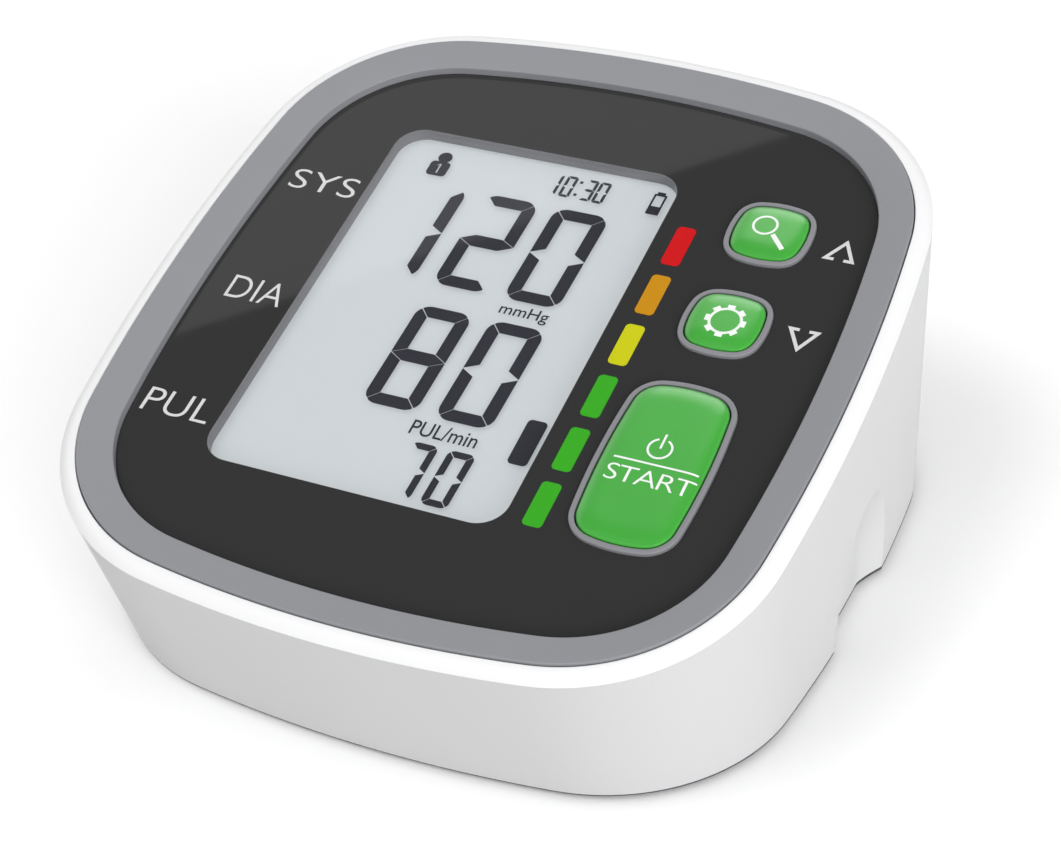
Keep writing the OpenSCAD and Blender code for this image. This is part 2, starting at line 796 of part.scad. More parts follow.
module rubber_feet() color("dimgray") at_feet() cylinder(r = foot_r, h = case_low + foot_sink);

module case_screws() color("silver") at_screws() {
    difference() {
        translate([0, 0, case_low]) cylinder(r = screw_head_r, h = screw_head_t);
        translate([0, 0, case_low - cut]) linear_extrude(cut + screw_slot_d) cross_slot();
    }
    translate([0, 0, case_low + screw_head_t]) cylinder(r = screw_r, h = screw_l);
}

module cross_slot() {
    square(screw_slot, center = true);
    square([screw_slot[1], screw_slot[0]], center = true);
}

// ---------------------------------------------------------------- face

module trim_ring() color([0.6, 0.6, 0.62]) {
    shape = inset(rim_shape, rim_band_w + 2 * fixed_gap);
    inner = ring_w - fixed_gap;
    section = [[0, deck_top], [0, ring_top - ring_edge_r], [ring_edge_r, ring_top],
               [inner - ring_edge_r, ring_low], [inner, ring_low - ring_edge_r], [inner, deck_top]];
    ring_hoop([for (s = section) face_ring(shape, case_counts, s[0], s[1])]);
}

module face_panel() color([0.15, 0.15, 0.16]) {
    shape = inset(rim_shape, rim_band_w + ring_w + 2 * fixed_gap);
    difference() {
        face_plate(shape, case_counts, deck_top, 0);
        at_window() rounded_bar(window_w, window_l, window_r, deck_top - cut, cut);
        panel_key_cut(small_shape, memory_y);
        panel_key_cut(small_shape, settings_y);
        panel_key_cut(start_shape, start_y);
    }
}

module panel_key_cut(shape, y) {
    at_key(y) translate([0, 0, deck_top - cut]) linear_extrude(panel_t + 2 * cut)
        polygon(outline(inset(shape, bezel_w / 2 - run_gap), key_counts));
}

module lcd_lens() color([0.8, 0.85, 0.9, 0.35]) at_window()
    rounded_bar(window_w - 2 * run_gap, window_l - 2 * run_gap, window_r - run_gap, lens_low, lens_top);

// Raised frame round a key, with a skirt through the panel
module bezel(shape, y) color([0.6, 0.6, 0.62]) at_key(y) difference() {
    union() {
        linear_extrude(bezel_h - bezel_step) polygon(outline(shape, key_counts));
        linear_extrude(bezel_h) polygon(outline(inset(shape, bezel_edge), key_counts));
        translate([0, 0, deck_top]) linear_extrude(panel_t)
            polygon(outline(inset(shape, bezel_w / 2), key_counts));
    }
    translate([0, 0, deck_top - cut]) linear_extrude(panel_t + bezel_h + 2 * cut)
        polygon(outline(inset(shape, bezel_w), key_counts));
}

module start_bezel() bezel(start_shape, start_y);
module memory_bezel() bezel(small_shape, memory_y);
module settings_bezel() bezel(small_shape, settings_y);

// A key with a crowned top and a flange that keeps it behind the deck
module key_cap(shape, y) color([0.25, 0.68, 0.27]) at_key(y) {
    key = inset(shape, bezel_w + key_gap);
    side_h = bezel_h - bezel_edge;
    ring_stack(concat([flat_ring(key, flange_low + flange_t / 2)],
        [for (c = crown_profile) flat_ring(crown_outline(key, c[0]), lerp(side_h, key_h, c[1]))]));
    translate([0, 0, flange_low]) linear_extrude(flange_t)
        polygon(outline(inset(key, -flange_w), key_counts));
}

// The crown's rings keep a small corner radius while they shrink
function crown_outline(s, d) = [s[0] - d, s[1] - d, s[2] - d, s[3] - d, max(crown_corner_r, s[4] - d)];

function flat_ring(shape, h) = [for (p = outline(shape, key_counts)) [p[0], p[1], h]];

module start_button() key_cap(start_shape, start_y);
module memory_button() key_cap(small_shape, memory_y);
module settings_button() key_cap(small_shape, settings_y);

module switch_plunger(y) color("black") at_key(y)
    translate([0, 0, plunger_low]) cylinder(r = plunger_r, h = flange_low - plunger_low);

module start_plunger() switch_plunger(start_y);
module memory_plunger() switch_plunger(memory_y);
module settings_plunger() switch_plunger(settings_y);

// Switch bodies on the board, each with a guide bore for its plunger
module key_switches() color([0.2, 0.2, 0.2]) {
    for (y = [start_y, memory_y, settings_y]) at_key(y) difference() {
        rounded_bar(switch_side, switch_side, switch_edge_r, board_top, switch_top);
        translate([0, 0, board_top + switch_floor]) cylinder(r = plunger_r + run_gap, h = switch_h);
    }
}

// One coloured patch of the scale, counted from the top
module scale_bar(i) {
    on_face() translate([bar_x, bar_y - i * bar_pitch, 0]) rounded_bar(bar_w, bar_l, bar_r, 0, segment_t);
}

module scale_red() color([0.84, 0.12, 0.13]) scale_bar(0);
module scale_orange() color([0.82, 0.56, 0.12]) scale_bar(1);
module scale_yellow() color([0.83, 0.83, 0.12]) scale_bar(2);
module scale_green() color([0.27, 0.69, 0.19]) for (i = [3 : 5]) scale_bar(i);

// ---------------------------------------------------------------- display

module lcd_glass() color([0.83, 0.86, 0.88]) at_window()
    rounded_bar(glass_w, glass_l, glass_edge_r, glass_low, lcd_top);

module lcd_backlight() color("white") at_window() translate([0, zebra_w / 2 + door_gap, 0])
    rounded_bar(glass_w, glass_l - zebra_w - 2 * door_gap, glass_edge_r, board_top, glass_low);

module lcd_connector() color("lightpink") at_window() translate([0, zebra_w / 2 - glass_l / 2, 0])
    rounded_bar(zebra_l, zebra_w, glass_edge_r, board_top, glass_low);

module lcd_frame() color([0.85, 0.85, 0.85]) at_window() difference() {
    rounded_bar(frame_w, frame_l, frame_edge_r, board_top, lcd_top - frame_drop);
    rounded_bar(frame_w - 2 * frame_wall, frame_l - 2 * frame_wall, glass_edge_r, board_top - cut,
                lcd_top + cut);
}

// Segments a to g of a digit that are lit for each number
LIT = [[1, 1, 1, 1, 1, 1, 0], [0, 1, 1, 0, 0, 0, 0], [1, 1, 0, 1, 1, 0, 1], [1, 1, 1, 1, 0, 0, 1],
       [0, 1, 1, 0, 0, 1, 1], [1, 0, 1, 1, 0, 1, 1], [1, 0, 1, 1, 1, 1, 1], [1, 1, 1, 0, 0, 0, 0],
       [1, 1, 1, 1, 1, 1, 1], [1, 1, 1, 1, 0, 1, 1]];

// Segment outlines with mitred ends, in a digit's own frame from its middle
function flat_segment(w, l, t, g) =
    [[-w / 2 + g, l / 2], [w / 2 - g, l / 2], [w / 2 - t - g, l / 2 - t], [-w / 2 + t + g, l / 2 - t]];
function upright_segment(w, l, t, g) =
    [[w / 2, l / 2 - g], [w / 2, t / 4 + g / 2], [w / 2 - t / 2, g / 2], [w / 2 - t, t / 2 + g / 2],
     [w / 2 - t, l / 2 - t - g]];
function middle_segment(w, t, g) =
    [[-w / 2 + t / 2 + g, 0], [-w / 2 + t + g, t / 2], [w / 2 - t - g, t / 2], [w / 2 - t / 2 - g, 0],
     [w / 2 - t - g, -t / 2], [-w / 2 + t + g, -t / 2]];

// A rectangle with its corners cut off, given by its half sizes
function cut_corners(a, b, c) =
    [[-a, c - b], [c - a, -b], [a - c, -b], [a, c - b], [a, b - c], [a - c, b], [c - a, b], [-a, b - c]];

module digit(number, w, l, t) {
    lit = LIT[number];
    g = segment_gap / 2;
    linear_extrude(segment_t) intersection() {
        union() {
            if (lit[0] == 1) polygon(flat_segment(w, l, t, g));
            if (lit[1] == 1) polygon(upright_segment(w, l, t, g));
            if (lit[2] == 1) mirror([0, 1]) polygon(upright_segment(w, l, t, g));
            if (lit[3] == 1) mirror([0, 1]) polygon(flat_segment(w, l, t, g));
            if (lit[4] == 1) mirror([1, 0]) mirror([0, 1]) polygon(upright_segment(w, l, t, g));
            if (lit[5] == 1) mirror([1, 0]) polygon(upright_segment(w, l, t, g));
            if (lit[6] == 1) polygon(middle_segment(w, t, g));
        }
        polygon(cut_corners(w / 2, l / 2, t / 2));
    }
}

// A row of digits that ends at a given right edge
module digit_row(numbers, right, y, pitch, w, l, t) {
    for (i = [0 : len(numbers) - 1])
        translate([right - w / 2 - (len(numbers) - 1 - i) * pitch, y, lcd_top]) digit(numbers[i], w, l, t);
}

module lcd_segments() color([0.17, 0.17, 0.2]) on_face() {
    digit_row([1, 2, 0], digit_right, high_row_y, digit_pitch, digit_w, digit_l, segment_w);
    digit_row([8, 0], digit_right, low_row_y, digit_pitch, digit_w, digit_l, segment_w);
    digit_row([7, 0], digit_right, pulse_row_y, pulse_pitch, pulse_w, pulse_l, pulse_segment_w);
    digit_row([3, 0], clock_right, clock_row_y, clock_pitch, clock_w, clock_l, clock_segment_w);
    digit_row([1, 0], hours_right, clock_row_y, clock_pitch, clock_w, clock_l, clock_segment_w);
    for (y = [-1, 1]) translate([colon_x, clock_row_y + y * clock_l / 5, lcd_top])
        linear_extrude(segment_t) square(clock_segment_w, center = true);
    translate([marker_at[0], marker_at[1], lcd_top]) rounded_bar(marker[0], marker[1], bar_r, 0, segment_t);
}

// ---------------------------------------------------------------- boards

module main_board() color([0.1, 0.4, 0.2]) difference() {
    on_face() rounded_bar(2 * board_half_w, 2 * board_half_l, board_edge_r, board_under, board_top);
    at_board_screws() translate([0, 0, board_under - cut])
        cylinder(r = board_screw_r + fixed_gap, h = board_t + 2 * cut);
}

module board_screws() color("silver") at_board_screws() {
    translate([0, 0, board_under - board_head_t]) cylinder(r = board_head_r, h = board_head_t);
    translate([0, 0, board_under]) cylinder(r = board_screw_r, h = board_screw_l);
}

// Controller, memory and regulators on the board's underside
module board_chips() color([0.12, 0.12, 0.13]) on_face() for (c = chips)
    translate([c[0], c[1], 0]) rounded_bar(c[2], c[3], chip_edge_r, board_under - c[4], board_under);

module buzzer() color("black") on_face() translate([buzzer_at[0], buzzer_at[1], buzzer_low]) difference() {
    cylinder(r = buzzer_r, h = buzzer_h);
    translate([0, 0, -cut]) cylinder(r = buzzer_hole_r, h = cut + buzzer_h / 2);
}

module pressure_sensor() color([0.85, 0.85, 0.8]) on_face() difference() {
    union() {
        translate([manifold_x, sensor_v, 0])
            rounded_bar(sensor[0], sensor[1], switch_edge_r, board_under - sensor[2], board_under);
        translate([manifold_x, sensor_v, sensor_tip]) cylinder(r = nipple_r, h = nipple_l);
    }
    translate([manifold_x, sensor_v, sensor_tip - cut])
        cylinder(r = air_way_r, h = cut + nipple_l + sensor[2] / 2);
}

module power_board() color([0.1, 0.4, 0.2])
    box_between([jack_x - jack_board[0] / 2, jack_body_y - jack_board[1], jack_board_z],
                [jack_x + jack_board[0] / 2, jack_body_y, jack_board_z + board_t]);

module dc_jack() color([0.1, 0.1, 0.1]) difference() {
    union() {
        box_between([jack_x - jack[0] / 2, jack_body_y - jack[1], jack_z - jack[2] / 2],
                    [jack_x + jack[0] / 2, jack_body_y, jack_z + jack[2] / 2]);
        at_jack() rod_y(jack_body_y - run_gap, jack_face_y, jack_nose_r);
    }
    at_jack() rod_y(jack_face_y - jack_bore_l, jack_face_y + cut, jack_bore_r);
}

module jack_pin() color("goldenrod") at_jack()
    rod_y(jack_face_y - jack_bore_l, jack_face_y - cut, jack_pin_r);

// ---------------------------------------------------------------- batteries

// Neighbouring cells point opposite ways; local +Y runs from the spring to the nub
module at_cells() {
    for (i = [0 : 3]) translate([(i - 1.5) * cell_pitch, (bay_front + bay_rear) / 2, cell_z])
        rotate([0, 0, 180 * (i % 2)]) children();
}

bay_half_l = (bay_rear - bay_front) / 2;
nub_end = bay_half_l - contact_t - nub_gap;

module batteries() color([0.75, 0.6, 0.3]) at_cells() {
    rod_y(nub_end - cell_l, nub_end - nub_l, cell_r);
    rod_y(nub_end - nub_l, nub_end, nub_r);
}

module battery_contacts() color("silver") at_cells() {
    half = contact_side / 2;
    box_between([-half, bay_half_l - contact_t, -half], [half, bay_half_l, half]);
    box_between([-half, -bay_half_l, -half], [half, -bay_half_l + contact_t, half]);
    rod_y(nub_end, bay_half_l - contact_t, nub_r / 2);
}

module battery_springs() color("silver") at_cells() {
    spring_l = nub_end - cell_l + bay_half_l - contact_t - 2 * spring_wire_r;
    translate([0, -bay_half_l + contact_t + spring_wire_r, 0]) rotate([-90, 0, 0])
        wire(coil_path(spring_low_r, spring_high_r, spring_l, spring_turns), spring_wire_r);
}

// ---------------------------------------------------------------- air system

module motor_can() color("silver") at_pump() difference() {
    rod_x(motor_x, motor_x + motor_l - cap_t, motor_r);
    rod_x(motor_x + can_t, motor_x + motor_l, motor_r - can_t);
    rod_x(motor_x - cut, motor_x + 2 * can_t, shaft_r + run_gap);
}

module motor_magnets() color([0.25, 0.25, 0.27]) at_pump() difference() {
    rod_x(magnet_x, magnet_end, motor_r - can_t);
    rod_x(magnet_x - cut, magnet_end + cut, motor_r - can_t - magnet_t);
    box_between([magnet_x - cut, -motor_r, -magnet_slot / 2], [magnet_end + cut, motor_r, magnet_slot / 2]);
}

module motor_end_cap() color([0.15, 0.15, 0.15]) at_pump() difference() {
    motor_end = motor_x + motor_l;
    union() {
        rod_x(motor_end - cap_t, motor_end, motor_r);
        rod_x(motor_end - cap_t - cap_plug, motor_end - cap_t, motor_r - can_t - fixed_gap);
        for (y = [-1, 1]) box_between([motor_end, y * tab_y - tab[1] / 2, -tab[2] / 2],
                                      [motor_end + tab[0], y * tab_y + tab[1] / 2, tab[2] / 2]);
    }
    rod_x(motor_end - cap_t - cap_plug - cut, motor_end - cap_t / 2, shaft_r + run_gap);
}

// Shaft, slotted iron core and commutator
module motor_rotor() color([0.7, 0.45, 0.25]) at_pump() {
    rod_x(hub_x + hub_skin, motor_x + motor_l - cap_t / 2 - air_gap, shaft_r);
    translate([rotor_x, 0, 0]) rotate([90, 0, 90]) linear_extrude(rotor_end - rotor_x) rotor_section();
    rod_x(brush_x - cap_plug, brush_x, brush_r);
}

module rotor_section() {
    difference() {
        circle(rotor_r);
        for (a = [0 : 120 : 240]) rotate(a) {
            translate([rotor_r * slot_share, 0]) circle(slot_r);
            translate([rotor_r * slot_share, -slot_mouth / 2]) square([rotor_r, slot_mouth]);
        }
    }
}

module crank_hub() color([0.9, 0.9, 0.85]) at_pump() {
    difference() {
        rod_x(hub_x, motor_x - housing_wall - air_gap, crank_r);
        rod_x(hub_x + hub_skin, motor_x, shaft_r);
    }
    translate([0, 0, crank_off]) rod_x(hub_x - crank_pin_l, hub_x + fixed_gap, crank_pin_r);
}

module pump_housing() color([0.2, 0.2, 0.22]) at_pump() difference() {
    box_between([housing_x, -pump_side / 2, -pump_side / 2], [motor_x, pump_side / 2, pump_side / 2]);
    rod_x(housing_x + housing_wall, motor_x - housing_wall, housing_r);
    rod_x(motor_x - housing_wall - cut, motor_x + cut, crank_r + 1);
    rod_x(housing_x - cut, housing_x + housing_wall + cut, housing_mouth_r);
}

module pump_rocker() color([0.9, 0.9, 0.85]) at_pump() difference() {
    union() {
        rod_x(housing_x + disc_t, housing_x + 2 * disc_t, disc_r);
        rod_x(housing_x + disc_t, housing_x + disc_t + rocker_l, rocker_hub_r);
    }
    rod_x(hub_x - crank_pin_l - hub_skin, hub_x, crank_off + crank_pin_r + door_gap);
}

module pump_diaphragm() color([0.8, 0.35, 0.2]) at_pump() {
    half = pump_side / 2 - sheet_edge;
    box_between([housing_x - sheet_t, -half, -half], [housing_x, half, half]);
    rod_x(housing_x - run_gap, housing_x + disc_t, pump_port_r);
}

module pump_head() color([0.25, 0.25, 0.27]) at_pump() difference() {
    half = pump_side / 2;
    union() {
        box_between([head_x, -half, -half], [housing_x - sheet_t, half, half]);
        rod_x(head_x - nipple_l, head_x + run_gap, nipple_r);
    }
    rod_x(head_x - nipple_l - cut, head_x + head_wall + cut, air_way_r);
    rod_x(head_x + head_wall, housing_x - sheet_t + cut, pump_port_r);
}

// Rubber saddle that holds the motor off the floor
module pump_cradle() color([0.3, 0.3, 0.3]) difference() {
    box_between([cradle_x, pump_y - motor_r, floor_top + post_h],
                [cradle_end, pump_y + motor_r, pump_z - cradle_drop]);
    at_pump() rod_x(cradle_x - cut, cradle_end + cut, motor_r + run_gap);
}

module air_manifold() color([0.9, 0.9, 0.9]) {
    half = manifold_side / 2;
    difference() {
        union() {
            box_between([manifold_x - half, pump_y - half, manifold_low],
                        [manifold_x + half, pump_y + half, manifold_top]);
            at_pump() rod_x(manifold_x - half - nipple_l, manifold_x + half + nipple_l, nipple_r);
            translate([manifold_x, 0, valve_port_z]) rod_y(pump_y, pump_y + half + nipple_l, nipple_r);
            translate([manifold_x, pump_y, manifold_top - run_gap]) cylinder(r = nipple_r, h = nipple_l);
        }
        at_pump() rod_x(manifold_x - half - nipple_l - cut, manifold_x + half + nipple_l + cut, air_way_r);
        translate([manifold_x, 0, valve_port_z]) rod_y(pump_y, pump_y + half + nipple_l + cut, air_way_r);
        translate([manifold_x, pump_y, pump_z])
            cylinder(r = air_way_r, h = manifold_top - pump_z + nipple_l + cut);
    }
}

// Straight soft tubes pushed over the nipples
module tube_x(x1, x2) {
    at_pump() difference() {
        rod_x(x1, x2, tube_r);
        rod_x(x1 - cut, x2 + cut, tube_bore_r);
    }
}

module pump_tube() color([0.93, 0.93, 0.9])
    tube_x(manifold_x + manifold_side / 2 + tube_end_gap, head_x - tube_end_gap);

module socket_tube() color([0.93, 0.93, 0.9])
    tube_x(socket_in_x + tube_end_gap, manifold_x - manifold_side / 2 - tube_end_gap);

module valve_tube() color([0.93, 0.93, 0.9]) translate([manifold_x, 0, valve_port_z]) difference() {
    rod_y(pump_y + manifold_side / 2 + tube_end_gap, valve_y - valve_side / 2 - tube_end_gap, tube_r);
    rod_y(pump_y, valve_y, tube_bore_r);
}

// Tube from the manifold up to the sensor, bent to the face's tilt
module sensor_tube() color([0.93, 0.93, 0.9]) {
    low = manifold_top + tube_end_gap;
    bend = [for (i = [0 : bend_steps])
        let (t = face_tilt * i / bend_steps)
        [manifold_x, pump_y - bend_r * (1 - cos(t)), sensor_bend_z + bend_r * sin(t)]];
    end = from_face([manifold_x, sensor_v, sensor_tip + nipple_l - tube_end_gap]);
    path = concat([[manifold_x, pump_y, low]], bend, [end]);
    last = len(path) - 1;
    ring_hoop(concat([for (i = [0 : last]) tube_ring(path, i, tube_r, tube_sides)],
                     [for (i = [last : -1 : 0]) tube_ring(path, i, tube_bore_r, tube_sides)]));
}

// Hose socket in the left wall
module air_socket() color([0.85, 0.85, 0.85]) at_pump() difference() {
    union() {
        rod_x(socket_x, socket_x + socket_flange_t, socket_flange_r);
        rod_x(socket_x, socket_in_x - nipple_l + 2, socket_body_r);
        rod_x(socket_x, socket_in_x + nipple_l, nipple_r);
    }
    rod_x(socket_x - cut, socket_x + socket_depth, socket_bore_r);
    rod_x(socket_x, socket_in_x + nipple_l + cut, air_way_r);
}

// ---------------------------------------------------------------- release valve

module at_valve() {
    translate([manifold_x, valve_y, 0]) children();
}

module valve_frame() color("silver") at_valve() {
    half = valve_side / 2;
    box_between([-half, -half, valve_low], [half, half, coil_low]);
    for (x = [-half, half - valve_side_t])
        box_between([x, -half, valve_low], [x + valve_side_t, half, valve_block_low]);
}

module valve_coil() color([0.72, 0.4, 0.2]) at_valve() difference() {
    translate([0, 0, coil_low]) cylinder(r = coil_r, h = coil_h);
    translate([0, 0, coil_low + valve_stop]) cylinder(r = valve_plunger_r + run_gap, h = coil_h);
}

module valve_plunger() color("silver") at_valve() {
    translate([0, 0, valve_tail_low]) cylinder(r = valve_plunger_r, h = valve_head_low - valve_tail_low);
    translate([0, 0, valve_head_low]) cylinder(r = valve_head_r, h = valve_head_t);
}

module valve_seal() color([0.15, 0.15, 0.15]) at_valve()
    translate([0, 0, valve_head_low + valve_head_t]) cylinder(r = valve_seal_r, h = valve_seal_t);

module valve_spring() color("silver") at_valve() {
    translate([0, 0, coil_top + valve_wire_r])
        wire(coil_path(valve_spring_r, valve_spring_r, valve_spring_l - 2 * valve_wire_r, valve_turns),
             valve_wire_r);
}

// Block with the exhaust nozzle that the seal closes
module valve_block() color([0.9, 0.9, 0.88]) at_valve() {
    half = valve_side / 2;
    difference() {
        union() {
            box_between([-half, -half, valve_block_low], [half, half, valve_block_low + valve_block_h]);
            translate([0, 0, valve_nozzle_low]) cylinder(r = valve_nozzle_r, h = valve_block_h / 2);
            translate([0, 0, valve_port_z]) rod_y(-half - nipple_l, 0, nipple_r);
        }
        translate([0, 0, valve_nozzle_low - cut])
            cylinder(r = air_way_r, h = valve_port_z - valve_nozzle_low + cut);
        translate([0, 0, valve_port_z]) rod_y(-half - nipple_l - cut, 0, air_way_r);
    }
}

upper_case();
bottom_case();
battery_door();
rubber_feet();
case_screws();
trim_ring();
face_panel();
lcd_lens();
start_bezel();
memory_bezel();
settings_bezel();
start_button();
memory_button();
settings_button();
start_plunger();
memory_plunger();
settings_plunger();
key_switches();
scale_red();
scale_orange();
scale_yellow();
scale_green();
lcd_glass();
lcd_backlight();
lcd_connector();
lcd_frame();
lcd_segments();
main_board();
board_screws();
board_chips();
buzzer();
pressure_sensor();
power_board();
dc_jack();
jack_pin();
batteries();
battery_contacts();
battery_springs();
motor_can();
motor_magnets();
motor_end_cap();
motor_rotor();
crank_hub();
pump_housing();
pump_rocker();
pump_diaphragm();
pump_head();
pump_cradle();
air_manifold();
pump_tube();
socket_tube();
valve_tube();
sensor_tube();
air_socket();
valve_frame();
valve_coil();
valve_plunger();
valve_seal();
valve_spring();
valve_block();
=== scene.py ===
"""Looks of the desktop control unit of an upper-arm blood pressure monitor.

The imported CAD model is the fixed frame. The pieces that show get smooth meshes here, and every
piece, seen or hidden, gets a procedural finish. Sizes are in millimetres and become metres when a
mesh is placed. The sloping face has its own frame: u across, v up the slope, h out of the panel.
"""

import logging
import math
from collections.abc import Iterable, Iterator
from contextlib import contextmanager
from dataclasses import dataclass, field
from enum import Enum

import bmesh
import bpy
from mathutils import Matrix, Vector
from mathutils.bvhtree import BVHTree
from mathutils.geometry import tessellate_polygon


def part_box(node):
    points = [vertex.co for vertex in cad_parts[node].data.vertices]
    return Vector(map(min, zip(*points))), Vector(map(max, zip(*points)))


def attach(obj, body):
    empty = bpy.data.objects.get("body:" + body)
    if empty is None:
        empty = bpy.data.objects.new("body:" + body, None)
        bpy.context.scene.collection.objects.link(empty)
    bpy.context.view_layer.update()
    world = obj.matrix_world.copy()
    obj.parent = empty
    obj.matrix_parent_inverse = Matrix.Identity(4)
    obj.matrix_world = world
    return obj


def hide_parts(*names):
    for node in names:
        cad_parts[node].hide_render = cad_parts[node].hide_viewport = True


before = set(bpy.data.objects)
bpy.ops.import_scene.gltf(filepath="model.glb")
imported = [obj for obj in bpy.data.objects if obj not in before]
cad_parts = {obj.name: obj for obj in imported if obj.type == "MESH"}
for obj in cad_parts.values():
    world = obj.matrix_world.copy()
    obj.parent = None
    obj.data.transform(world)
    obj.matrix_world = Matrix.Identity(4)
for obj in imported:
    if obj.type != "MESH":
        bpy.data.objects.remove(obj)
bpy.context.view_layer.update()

logging.basicConfig(level=logging.INFO, format="%(message)s")
log = logging.getLogger("monitor")

MM = 0.001
# Slope of the face in degrees, and the thickness of the panel on it
FACE_TILT = 15.3
PANEL_T = 2.3
# Printed marks: their thickness, and how far they reach into the panel
PRINT_T = 0.03
PRINT_SINK = 0.005
# Edges that bend more than this many degrees stay crisp
CRISP_ANGLE = 32.0

Point = tuple[float, float]
Colour = tuple[float, float, float]


# ------------------------------------------------------------------ shapes


def srgb(red: int, green: int, blue: int) -> Colour:
    """Turns a colour on the 0 to 255 scale into the linear values that a shader takes.

    Args:
        red: Red on the scale.
        green: Green on the scale.
        blue: Blue on the scale.

    Returns:
        The three linear values.
    """

    def linear(value: int) -> float:
        """Takes one channel from the scale to its linear value."""
        share = value / 255
        return share / 12.92 if share <= 0.04045 else ((share + 0.055) / 1.055) ** 2.4

    return linear(red), linear(green), linear(blue)


@dataclass(frozen=True)
class Outline:
    """A rounded outline: two side arcs, two end arcs and four corner arcs, all running smoothly."""

    half_w: float
    half_l: float
    side_r: float
    end_r: float
    corner_r: float

    def inset(self, distance: float, least_corner: float = 0.0) -> "Outline":
        """Gives the outline that lies a constant distance inside this one.

        Args:
            distance: How far inside, below zero for outside.
            least_corner: The smallest radius that a corner keeps.

        Returns:
            The new outline.
        """
        corner = max(least_corner, self.corner_r - distance)
        return Outline(self.half_w - distance, self.half_l - distance, self.side_r - distance,
                       self.end_r - distance, corner)

    def corner_centre(self) -> Vector:
        """Finds the centre of the corner arc that touches the side arc and the end arc."""
        side = Vector((self.half_w - self.side_r, 0))
        end = Vector((0, self.half_l - self.end_r))
        to_side = self.side_r - self.corner_r
        to_end = self.end_r - self.corner_r
        gap = (end - side).length
        along = (end - side) / gap
        t = (to_side ** 2 - to_end ** 2 + gap ** 2) / (2 * gap)
        across = Vector((-along.y, along.x))
        return side + along * t + across * math.sqrt(to_side ** 2 - t ** 2)

    def points(self, counts: tuple[int, int, int]) -> list[Point]:
        """Lists the outline's points, counter-clockwise from the middle of the right side.

        Args:
            counts: Points on each quarter's side arc, corner arc and end arc.

        Returns:
            The points as (x, y).
        """
        corner = self.corner_centre()
        side = Vector((self.half_w - self.side_r, 0))
        end = Vector((0, self.half_l - self.end_r))
        first = math.atan2(corner.y - side.y, corner.x - side.x)
        second = math.atan2(corner.y - end.y, corner.x - end.x)
        arcs = [(side, self.side_r, 0.0, first), (corner, self.corner_r, first, second),
                (end, self.end_r, second, math.pi / 2)]
        quarter: list[Point] = []
        for (centre, radius, start, stop), count in zip(arcs, counts):
            for i in range(count):
                angle = start + (stop - start) * i / count
                quarter.append((centre.x + radius * math.cos(angle), centre.y + radius * math.sin(angle)))
        quarter.append((0.0, self.half_l))
        back = quarter[:0:-1]
        return (quarter[:-1] + [(-x, y) for x, y in back]
                + [(-x, -y) for x, y in quarter[:-1]] + [(x, -y) for x, y in back])


def arc(centre: Point, radius: float, start: float, stop: float, steps: int) -> list[Point]:
    """Lists points along an arc, both ends included.

    Args:
        centre: The arc's centre.
        radius: The arc's radius.
        start: First angle in degrees.
        stop: Last angle in degrees.
        steps: Number of steps from end to end.

    Returns:
        The points as (x, y).
    """
    angles = [math.radians(start + (stop - start) * i / steps) for i in range(steps + 1)]
    return [(centre[0] + radius * math.cos(a), centre[1] + radius * math.sin(a)) for a in angles]


def rounded_box(width: float, length: float, radius: float, steps: int) -> list[Point]:
    """Lists the points of a rectangle with round corners about the origin.

    Args:
        width: Its size along X.
        length: Its size along Y.
        radius: Radius of its corners.
        steps: Steps of each corner.

    Returns:
        The points as (x, y).
    """
    x, y = width / 2 - radius, length / 2 - radius
    corners = [((x, y), 0), ((-x, y), 90), ((-x, -y), 180), ((x, -y), 270)]
    return [p for centre, start in corners for p in arc(centre, radius, start, start + 90, steps)]


def moved(points: Iterable[Point], to: Point) -> list[Point]:
    """Moves points by an offset and gives them as a list."""
    return [(x + to[0], y + to[1]) for x, y in points]


@dataclass(frozen=True)
class Block:
    """A rectangle with round corners and its place on the face."""

    width: float
    length: float
    radius: float
    middle: Point
    steps: int = 8

    def outline(self, grow: float = 0.0) -> list[Point]:
        """Lists the points of its outline, grown or shrunk all round.

        Args:
            grow: How far it grows, below zero to shrink.

        Returns:
            The points as (x, y).
        """
        width, length = self.width + 2 * grow, self.length + 2 * grow
        return moved(rounded_box(width, length, self.radius + grow, self.steps), self.middle)


def quarter(steps: int) -> list[float]:
    """Lists the angles of a quarter turn in radians, both ends included."""
    return [math.radians(90 / steps * i) for i in range(steps + 1)]


def rounded_top(width: float, outer: Point, inner: Point, steps: int) -> list[Point]:
    """Lists the upper part of a frame's section, from its outer wall to its inner wall.

    Args:
        width: The frame's width.
        outer: Height and edge radius at the outer wall.
        inner: Height and edge radius at the inner wall.
        steps: Steps of each rounded edge.

    Returns:
        The points as (inset, height).
    """
    (high, wide), (low, fine) = outer, inner
    return ([(wide - wide * math.cos(a), high - wide + wide * math.sin(a)) for a in quarter(steps)]
            + [(width - fine + fine * math.sin(a), low - fine + fine * math.cos(a))
               for a in quarter(steps)])


